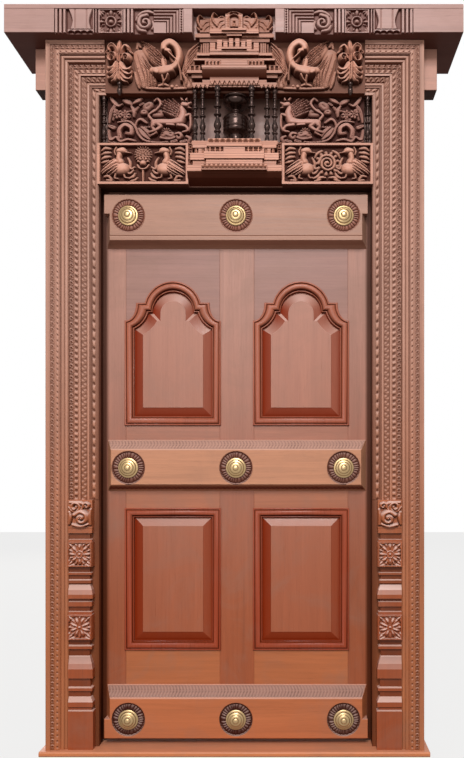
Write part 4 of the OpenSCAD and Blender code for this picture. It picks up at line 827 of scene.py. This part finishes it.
def prism(plan, z0, z1, start):
    """Points and faces of a plan of (x, y) points carried up from z0 to z1."""
    p = np.asarray(plan, float)
    n = len(p)
    k = np.arange(n)
    pts = np.vstack([np.column_stack([p, np.full(n, z)]) for z in (z0, z1)])
    walls = np.stack([k, np.roll(k, -1), np.roll(k, -1) + n, k + n], -1) + start
    return pts, walls.tolist() + [(k[::-1] + start).tolist(), (k + n + start).tolist()]


cornice_wood = teak("teak_cornice_oiled", "X", "#a8837a", "#a8837a", 3.3, shade_colour="#431a12", under_shade=0.85)
half_plan = [(143, 4), (143, -41), (174, -41), (174, -28), (619, -28), (619, -41), (792, -41), (792, 219)]
low_pts, low_faces = prism(half_plan + [(-x, y) for x, y in half_plan[::-1]], 2508, 2590.5, 0)
top_pts, top_faces = prism([(-792, -41), (792, -41), (792, 219), (-792, 219)], 2590, 2606, len(low_pts))
beam_pts, beam_faces = np.vstack([low_pts, top_pts]), low_faces + top_faces
beam = surface("cornice_beam", beam_pts, beam_faces, cornice_wood, "frame", ("cornice",), crease=30)
ease(beam, 1.5)
u, v, gu, gv = grid(174, 619, 0, 81, 1.2)


def bars(places, half):
    """Upright fillets at the places, each half wide to a side."""
    return 12.0 * np.max([np.clip((half - np.abs(gu - c)) / 1.2, 0, 1) for c in places], axis=0)


drape_at, tile_at, tile_high = 528, 425, 40
drape = np.abs(gu - drape_at)
waist = 30 + 13 * np.abs(gv / 40.5 - 1) ** 1.5
hem = 1 - 0.25 * np.exp(-((drape - 20) / 2.0) ** 2)
cloth = 11.5 * np.clip((waist - drape) / 2.5, 0, 1) * (gv > 12) * hem
fringe = 10.0 * (drape < 45) * (gv < 12) * (gv > 3 + 5 * np.abs(np.sin(np.pi * drape / 22)))
tile = np.maximum(np.abs(gu - tile_at), np.abs(gv - 40.5))
frame_line = 10.0 * (tile < 42) * (tile > 38)
flower = rays(tile_at, tile_high, 25, 38, 6, 9, 4) + rays(tile_at, tile_high, 24, 34, 3, 8, 8, 22.5)
flower += [coil(tile_at, tile_high, 17, 0, 360, 4, 9, 1.0), [(tile_at, tile_high, 8, 11)] * 2]
flower += corner_rays(tile_at, tile_high, 40, 38, 3, 20, 4, 9)
notches = np.clip(np.hypot((gv + 4.5) % 9 - 4.5, gu - 181) / 3.5, 0.2, 1)
edging = 11.0 * (np.abs(gu - 181) < 7) * notches * (gu < 188)
volute = [coil(306, 36, 27, 100, -560, 8, 12, 0.1),
          [(280, 70, 6, 10), (296, 74, 8, 12), (316, 70, 7, 12), (330, 60, 6, 11)],
          [(336, 24, 5, 10), (326, 10, 7, 11), (306, 6, 6, 10)],
          [(282, 14, 5, 9), (276, 26, 6, 10), (280, 40, 5, 9)], [(338, 44, 4, 9), (334, 54, 5, 10)]]
reed = np.minimum(gu - 189, 80 - gv)
stepped = 11.0 * np.abs(np.sin(np.pi * reed / 11)) ** 0.5 * (gu < 276) * (gu > 188) * (reed < 44)
stepped = stepped + 9.0 * (gu < 276) * (reed >= 44)
face = np.max([bars((612, 598, 584), 5), bars((484, 475), 3), bars((377, 364, 351), 5), cloth, fringe,
               frame_line, ridges(flower, u, v), ridges(volute, u, v, 0.2), stepped, edging,
               np.full(gu.shape, 0.3)], axis=0)
for hand, side in HANDS:
    relief(hand + "cornice_carving", u, v, face, (0, -28.2, 2508.5), side, cornice_wood, back=-27.4,
           floor=0.6)


# Leaf: stiles, rails and muntin
# Teak members of one thickness, joined with pegged mortises and tenons, then planed
# flush and polished. Wear has greyed them; painted shade darkens the leaf's outer edges and its top.

def rail_painted_shade(x, y, z):
    """Painted shade on a rail: a band under the lintel."""
    return 0.9 * (z > 1990)


def stile_painted_shade(x, y, z):
    """Painted shade on an upright member: under the lintel and along the leaf's outer edges."""
    return rail_painted_shade(x, y, z) + np.clip((np.abs(x) - 463) / 12, 0, 0.8)


leaf_upright = teak("teak_stile", "Z", "#944d2e", "#a67767", 10.2, rough=(0.3, 0.45), patina=0.45)
leaf_cross = teak("teak_rail", "X", "#aa613b", "#966d62", 11.5, rough=(0.3, 0.45), patina=0.45)
lintel_cut, edge_cuts = (2, 1976), ((0, -474), (0, 474), (0, -462), (0, 462))
for name in ("left_stile", "right_stile", "muntin"):
    dressed(name, "leaf", leaf_upright, 1.2, stile_painted_shade, (lintel_cut, *edge_cuts))
for level in ("top", "middle", "bottom"):
    for hand, _ in HANDS:
        dressed(hand + level + "_rail", "leaf", leaf_cross, 1.2, rail_painted_shade, (lintel_cut,))


# Leaf: panels and their mouldings
# Raised and fielded teak panels, the upper two with a shouldered round head, each held
# by a mitred moulding planted round it.

def arch(i, n=26):
    """One half of the arched outline, set in by i: its side, a hollow shoulder that is a quarter of an
    ellipse, then the round head up to the middle."""
    half, foot, shoulder = 170, 1165, 1601
    rx, rz, r, top, ledge = 43 + 1.4 * i, 65 + i, 101 - 0.9 * i, 1577 - 0.18 * i, shoulder - i
    t = np.linspace(math.acos(i / rx), math.asin(i / rz), n)
    k = np.linspace(math.asin(max(ledge - top, 0.0) / r), math.pi / 2, n + 8)
    hollow = np.stack([half - rx * np.cos(t), shoulder - rz * np.sin(t)], -1)
    head = np.stack([r * np.cos(k), top + r * np.sin(k) + 0.01], -1)
    return np.vstack([[(half - i, foot + i)], hollow, [(r * math.cos(k[0]), ledge)], head])


def square(i):
    """One half of the lower outline, set in by i."""
    half, foot, top = 170, 352, 858
    return np.array([(half - i, foot + i), (half - i, top - i), (0, top - i)], float)


def loop(half):
    """A closed outline from its right half."""
    return np.vstack([half, half[-2::-1] * [-1, 1]])


def moulding(line, section, centre):
    """A closed section of (inset, depth) carried round an outline about the centre."""
    rings = np.stack([loop(line(i)) for i, _ in section])
    depth = np.repeat(np.array([y for _, y in section])[:, None], rings.shape[1], 1)
    pts = np.stack([rings[..., 0] + centre, depth, rings[..., 1]], -1)
    k = np.arange(depth.size).reshape(depth.shape)
    return pts.reshape(-1, 3), hoops(np.vstack([k, k[:1]])), depth.shape


def fielded(line, section, centre):
    """A raised panel: its bevels carried round the outline, with flat front and back of level strips."""
    pts, quads, shape = moulding(line, section, centre)
    n = shape[1]
    quads = quads[:(shape[0] - 1) * n]
    m = (n + 1) // 2
    i = np.arange(m - 1)
    j = n - 1 - i
    strip = np.stack([i, i + 1, j - 1, j], -1)
    return pts, np.vstack([quads, strip + (shape[0] - 1) * n, strip[:, ::-1]]), shape


bead_wood = teak("teak_bead", "Z", "#91391b", "#a05a42", 12.8, rough=(0.24, 0.36), shade_colour="#3c1209",
                 ledge_sheen=0.0, patina=0.15)
# The fielded panels' bevels carry painted shade; painted light takes part of it off where a bevel faces up
# or right.
field_wood = teak("teak_field", "Z", "#9b5437", "#a67260", 13.4, rough=(0.26, 0.4), figure=0.15,
                  shade_colour="#7c2408", ledge_sheen=0.3, steep=0.3, patina=0.4, lit_side_share=0.75)
ogee = [(-4, 87), (-4, 81), (-3, 79.6), (-1, 79), (1, 79.6), (2.2, 82), (3, 82.6), (4.6, 80), (7, 78.4),
        (10, 77.8), (14, 77.8), (17, 78.4), (20, 80), (22.4, 82.6), (24, 86), (24.8, 88), (25.6, 87.4),
        (27.6, 86.8), (29, 87.8), (29.4, 92), (29, 98), (0.3, 98), (0.3, 87)]
# Painted shade in the moulding's quirks and hollows, for each point of its section.
ogee_painted_shade = [0, 0, 0, 0, .2, .7, .7, .15, 0, 0, 0, 0, .1, .25, .6, .85, .5, 0, .3, .7, .8, .5, 0]
bevel = [(0.3, 113), (0.3, 98), (32, 98), (33, 97.6), (42, 95), (52, 92.2), (60, 90), (60.6, 89.6),
         (61.4, 88)]
# Painted shade across each bevel, for each point of its section.
bevel_painted_shade = [0, 0, 1, .95, .85, .8, .75, .6, 0]
for hand, c in (("left_", -232), ("right_", 232)):
    for kind, line in (("arched", arch), ("lower", square)):
        pts, quads, shape = moulding(line, ogee, c)
        dark = np.repeat(ogee_painted_shade, shape[1])
        node = hand + kind + "_bead"
        surface(node + "_run", pts, quads, bead_wood, "leaf", (node,), dark, crease=50)
        pts, quads, shape = fielded(line, bevel, c)
        dark = np.repeat(bevel_painted_shade, shape[1])
        node = hand + kind + "_panel"
        surface(node + "_fielded", pts, quads, field_wood, "leaf", (node,), dark, crease=12)


# Leaf: battens
# Three thick teak battens across the leaf, pegged from behind. The middle and bottom ones
# slope back at the top, where a plait of leaves is cut, and a rope runs under the middle one.

# Each batten has its own tone of teak; the greyer, pinker cast of the top one is also painted sheen. Their
# undersides take a light painted shade.
for name, colour, shift in (("top", "#a37763", 14.1), ("middle", "#ba8061", 15.6),
                            ("bottom", "#b4663f", 16.2)):
    wood = teak("teak_" + name + "_batten", "X", colour, colour, shift, shade_colour="#64291a", under_shade=0.35)
    dressed(name + "_batten", "leaf", wood, 1.6)


def plait(name, half0, half1, start, end, pitch, rise, wood):
    """A strip between two (depth, height) edges with the half lengths half0 and half1, cut with slanting
    leaves that meet on its middle line."""
    a, x = np.meshgrid(np.linspace(0, 1, 15), np.linspace(-1, 1, int(2 * half0 / pitch) * 9 + 1),
                       indexing="ij")
    along = x * (half0 + (half1 - half0) * a)
    flip = np.abs(a - 0.5) * 2
    slant = (along / pitch + 0.8 * flip + 0.5) % 1.0 - 0.5
    leaf = np.clip(1.15 - np.hypot(slant, 0.8 * (flip - 0.5)) * 2.1, 0, 1) ** 0.6
    leaf = np.maximum(leaf, np.clip(1 - flip * 9, 0, 1))
    field = np.clip((0.5 - np.abs(a - 0.5)) * 9, 0, 1)
    h = rise * leaf * field - 0.4 * (field <= 0)
    run = np.array(end, float) - np.array(start, float)
    out = np.array([-run[1], run[0]]) / math.hypot(*run)
    out = out if out[0] < 0 else -out
    y, z = start[0] + run[0] * a + out[0] * h, start[1] + run[1] * a + out[1] * h
    # Painted shade between the leaves, varied along the strip.
    worn = 0.75 + 0.25 * np.sin(along / 47.0) * np.sin(along / 19.0)
    dark = np.clip(0.95 - 1.15 * leaf, 0, 0.85) * field * worn
    pts = np.stack([along, y, z], -1).reshape(-1, 3)
    surface(name, pts, sheet(*a.shape), wood, "leaf", hollow=dark, closed=False)


# The plaits' sloping faces look up, and take a painted pale reflection.
plait_wood = teak("teak_plait_worn", "X", "#a77b6a", "#a77b6a", 21.7, ledge_sheen=0.2)
plait("middle_plait", 447, 464, (48, 1074), (82, 1108), 11.5, 2.2, plait_wood)
low_plait_wood = teak("teak_plait_low", "X", "#936656", "#936656", 22.9, ledge_sheen=0.2)
plait("bottom_plait", 451, 466, (48, 187.1), (82, 223.9), 11.5, 2.4, low_plait_wood)
# The rope runs under the batten, in its shadow: its darker colour and undersides are painted shade.
rope_wood = teak("teak_rope_shaded", "X", "#7d3a24", "#7d3a24", 17.3, shade_colour="#3a130a", under_shade=0.4)
plait("middle_rope", 451, 461, (57, 942), (79, 930), 16, 1.8, rope_wood)


# Leaf: rosettes
# Nine rings of teak petals, cut with a small gouge and stained dark, each let into a
# round seat in its batten and held there by its boss.

dark_wood = teak("teak_rosette_stained", "X", "#421d13", "#96604e", 18.9, rough=(0.4, 0.6), shade_colour="#3a150d")
r, a = np.meshgrid(np.linspace(0, 1, 22), np.linspace(0, 2 * np.pi, 260, endpoint=False), indexing="ij")
petal = np.abs(np.cos(15 * a + 0.9 * np.sin(3 * a) + 0.5 * np.sin(7 * a) + 0.8 * r))
grain = np.sin(np.pi * np.clip(r / 0.9, 0.05, 0.97)) ** 0.6 * (0.25 + 0.75 * petal ** 0.6)
rim = np.clip((r - 0.84 - 0.05 * petal) / 0.08, 0, 1)
inner, outer = 30, 59
rad = inner + (outer - inner) * r
hill = (2.0 + 5.6 * grain) * (1 - rim) + 6.9 * rim
shade = np.clip(1.05 - grain, 0, 0.95) * (1 - rim)
ring = hoops(np.arange(r.size).reshape(r.shape))
BOSS_DEPTH = 52
BOSS_PLACES = [(x, z) for z in (110, 1008, 1907) for x in (-384, 0, 384)]
pts, quads, dark = [], [], []
for cx, cz in BOSS_PLACES:
    pts.append(np.stack([cx + rad * np.cos(a), BOSS_DEPTH - hill, cz + rad * np.sin(a)], -1).reshape(-1, 3))
    quads.append(ring + len(dark) * r.size)
    dark.append(shade.ravel())
surface("rosettes_carved", np.vstack(pts), np.vstack(quads), dark_wood, "leaf", ("rosettes",),
        np.concatenate(dark), crease=60, closed=False)


# Leaf: bosses
# Nine stepped bosses of cast brass, turned and polished, each with a hub that passes
# through its rosette into the batten.

# Cast brass, turned and polished: a soft golden gloss, browner and duller in clouds, dark with grime
# in its grooves. There are 45 clouds to the metre, each about 22 mm wide.
brass = bpy.data.materials.new("cast_brass_polished")
tree = emptied(brass)
at = put(tree, "TexCoord").outputs["Object"]
cloud = put(tree, "TexNoise", {"Vector": at, "Scale": 45.0, "Detail": 4.0}).outputs["Fac"]
grime = put(tree, "Attribute", attribute_name="hollow").outputs["Fac"]
gold = put(tree, "Mix", {0: cloud, 6: linear("#c2a67d"), 7: linear("#aa8d64")}, data_type="RGBA")
aged = put(tree, "Mix", {0: grime, 6: gold.outputs[2], 7: linear("#5a4420")}, data_type="RGBA")
dull = put(tree, "MapRange", {"Value": cloud, "From Min": 0.3, "From Max": 0.7,
                              "To Min": 0.26, "To Max": 0.42})
skin = put(tree, "BsdfPrincipled", {"Base Color": aged.outputs[2], "Metallic": 1.0,
                                    "Roughness": dull.outputs[0]})
put(tree, "OutputMaterial", {"Surface": skin.outputs[0]})
boss = [(0, 0), (30, 0), (30, 8), (35.4, 8), (36, 8.6), (36, 9.6), (35, 10.6), (33, 11.4), (31, 11.6),
        (29.6, 12), (29, 13.4), (28.4, 15), (27, 16.6), (25, 17.6), (22, 18), (21, 18.4), (20.4, 19.6),
        (19.6, 20.8), (17, 22), (13, 22.8), (11.6, 22.9), (10.9, 23), (10.6, 23.6), (10, 25), (8.4, 26.4),
        (6, 27.4), (3.4, 27.9), (0, 28)]
boss_dark = [0.6, 0.6, 0.5, 0.2, 0, 0, 0, 0.1, 0.5, 0.7, 0.4, 0, 0, 0.1, 0.5, 0.7, 0.4, 0, 0, 0.2, 0.6, 0.8,
             0.5, 0.1, 0, 0, 0, 0]
around = 48
pts, quads, dark = [], [], []
for cx, cz in BOSS_PLACES:
    p, q = lathe(boss, (cx, BOSS_DEPTH, cz), around, "Y")
    quads.append(q + len(pts) * len(p))
    pts.append(p)
    dark.append(np.repeat(boss_dark, around) * 0.5)
surface("bosses_turned", np.vstack(pts), np.vstack(quads), brass, "leaf", ("bosses",),
        np.concatenate(dark), crease=50)


# Hinges
# Three steel butt hinges on the inner face: plates screwed to post and leaf, and a pin
# through their knuckles.

# Brushed steel: grey with upright lines about 0.8 mm wide and 40 mm long, coarser than real brush
# marks so that they show.
steel = bpy.data.materials.new("hinge_steel_brushed")
tree = emptied(steel)
at = put(tree, "TexCoord").outputs["Object"]
place = put(tree, "Mapping", {"Vector": at, "Scale": (1200.0, 1200.0, 25.0)}).outputs[0]
brushed = put(tree, "TexNoise", {"Vector": place, "Scale": 1.0, "Detail": 2.0}).outputs["Fac"]
grey = put(tree, "Mix", {0: brushed, 6: linear("#8d8c8a"), 7: linear("#b4b2ae")}, data_type="RGBA")
dull = put(tree, "MapRange", {"Value": brushed, "From Min": 0.3, "From Max": 0.7,
                              "To Min": 0.28, "To Max": 0.45})
skin = put(tree, "BsdfPrincipled", {"Base Color": grey.outputs[2], "Metallic": 1.0,
                                    "Roughness": dull.outputs[0]})
put(tree, "OutputMaterial", {"Surface": skin.outputs[0]})
for name, body in (("frame_hinge_plates", "frame"), ("hinge_pins", "frame"), ("leaf_hinge_plates", "leaf")):
    dressed(name, body, steel, 0.3)


# Studio
# A pale floor under a white sky, with one soft lamp high in front of the door and two
# weaker ones, in front and behind, that open the shadows.

def backdrop_rays(tree):
    """1 for rays from the camera, off gloss or through glass, which see the backdrop; 0 for light."""
    ray = put(tree, "LightPath").outputs
    mirror = put(tree, "Math", {0: ray["Is Glossy Ray"], 1: ray["Is Transmission Ray"]}, operation="MAXIMUM")
    seen = put(tree, "Math", {0: ray["Is Camera Ray"], 1: mirror.outputs[0]}, operation="MAXIMUM")
    return seen.outputs[0]


left, right, near, far, below = -9, 9, -6, 9, -0.0005
floor_corners = [(left, near, below), (right, near, below), (right, far, below), (left, far, below)]
floor_mesh = bpy.data.meshes.new("studio_floor")
floor_mesh.from_pydata(floor_corners, [], [(0, 1, 2, 3)])
floor = bpy.data.objects.new("studio_floor", floor_mesh)
scene.collection.objects.link(floor)
# Pale matt paint: nearly white to the eye, with a fifth of its own shade so that shadows stay.
pale = bpy.data.materials.new("studio_floor_pale")
tree = emptied(pale)
most = put(tree, "Math", {0: backdrop_rays(tree), 1: 0.8}, operation="MULTIPLY")
matt = put(tree, "BsdfPrincipled", {"Base Color": linear("#8d877f"), "Roughness": 0.9})
glow = put(tree, "Emission", {"Color": linear("#ffffff"), "Strength": 1.0})
mixed = put(tree, "MixShader", {0: most.outputs[0], 1: matt.outputs[0], 2: glow.outputs[0]})
put(tree, "OutputMaterial", {"Surface": mixed.outputs[0]})
floor_mesh.materials.append(pale)

sky = bpy.data.worlds.new("studio_sky")
scene.world = sky
tree = emptied(sky)
seen = backdrop_rays(tree)
aim = put(tree, "SeparateXYZ", {"Vector": put(tree, "TexCoord").outputs["Generated"]}).outputs["Z"]
level = put(tree, "MapRange", {"Value": aim, "From Min": -0.1, "From Max": 0.9,
                               "To Min": 0.04, "To Max": 0.8})
soft = put(tree, "Background", {"Color": linear("#f4f5f8"), "Strength": level.outputs[0]})
white = put(tree, "Background", {"Color": linear("#ffffff"), "Strength": 1.0})
either = put(tree, "MixShader", {0: seen, 1: soft.outputs[0], 2: white.outputs[0]})
put(tree, "OutputWorld", {"Surface": either.outputs[0]})


def lamp(name, place, aim, size, watts):
    """A square area lamp at place that faces aim."""
    data = bpy.data.lights.new(name, "AREA")
    data.size = size
    data.energy = watts
    one = bpy.data.objects.new(name, data)
    scene.collection.objects.link(one)
    one.location = place
    way = np.array(aim, float) - np.array(place, float)
    flat = math.hypot(way[0], way[1])
    one.rotation_euler = (math.atan2(flat, -way[2]), 0.0, math.atan2(way[1], way[0]) - math.pi / 2)


door_middle = (0, 0, 1.2)
lamp("key_above", (0.1, -6.2, 5.6), door_middle, 2.4, 430)
lamp("fill_front", (-0.8, -6.0, 2.2), door_middle, 3.0, 90)
lamp("fill_behind", (-1.5, 6.0, 3.2), door_middle, 3.0, 150)


# Camera
# Level, a metre up, in front of the door and a little to the right. Lens shift alone
# frames the view, so that the door's uprights stay parallel.

eye = bpy.data.cameras.new("eye")
eye.sensor_fit = "VERTICAL"
eye.sensor_height = 36.0
eye.lens = 33.9
photo_high, pixels_left, pixels_up = 758.0, 68.0, 91.0
eye.shift_x = -pixels_left / photo_high
eye.shift_y = pixels_up / photo_high
eye.clip_end = 50.0
camera = bpy.data.objects.new("eye", eye)
scene.collection.objects.link(camera)
camera.location = (0.2284, -2.5, 1.0)
camera.rotation_euler = (math.pi / 2, 0.0, 0.0)
scene.camera = camera

bpy.context.view_layer.update()
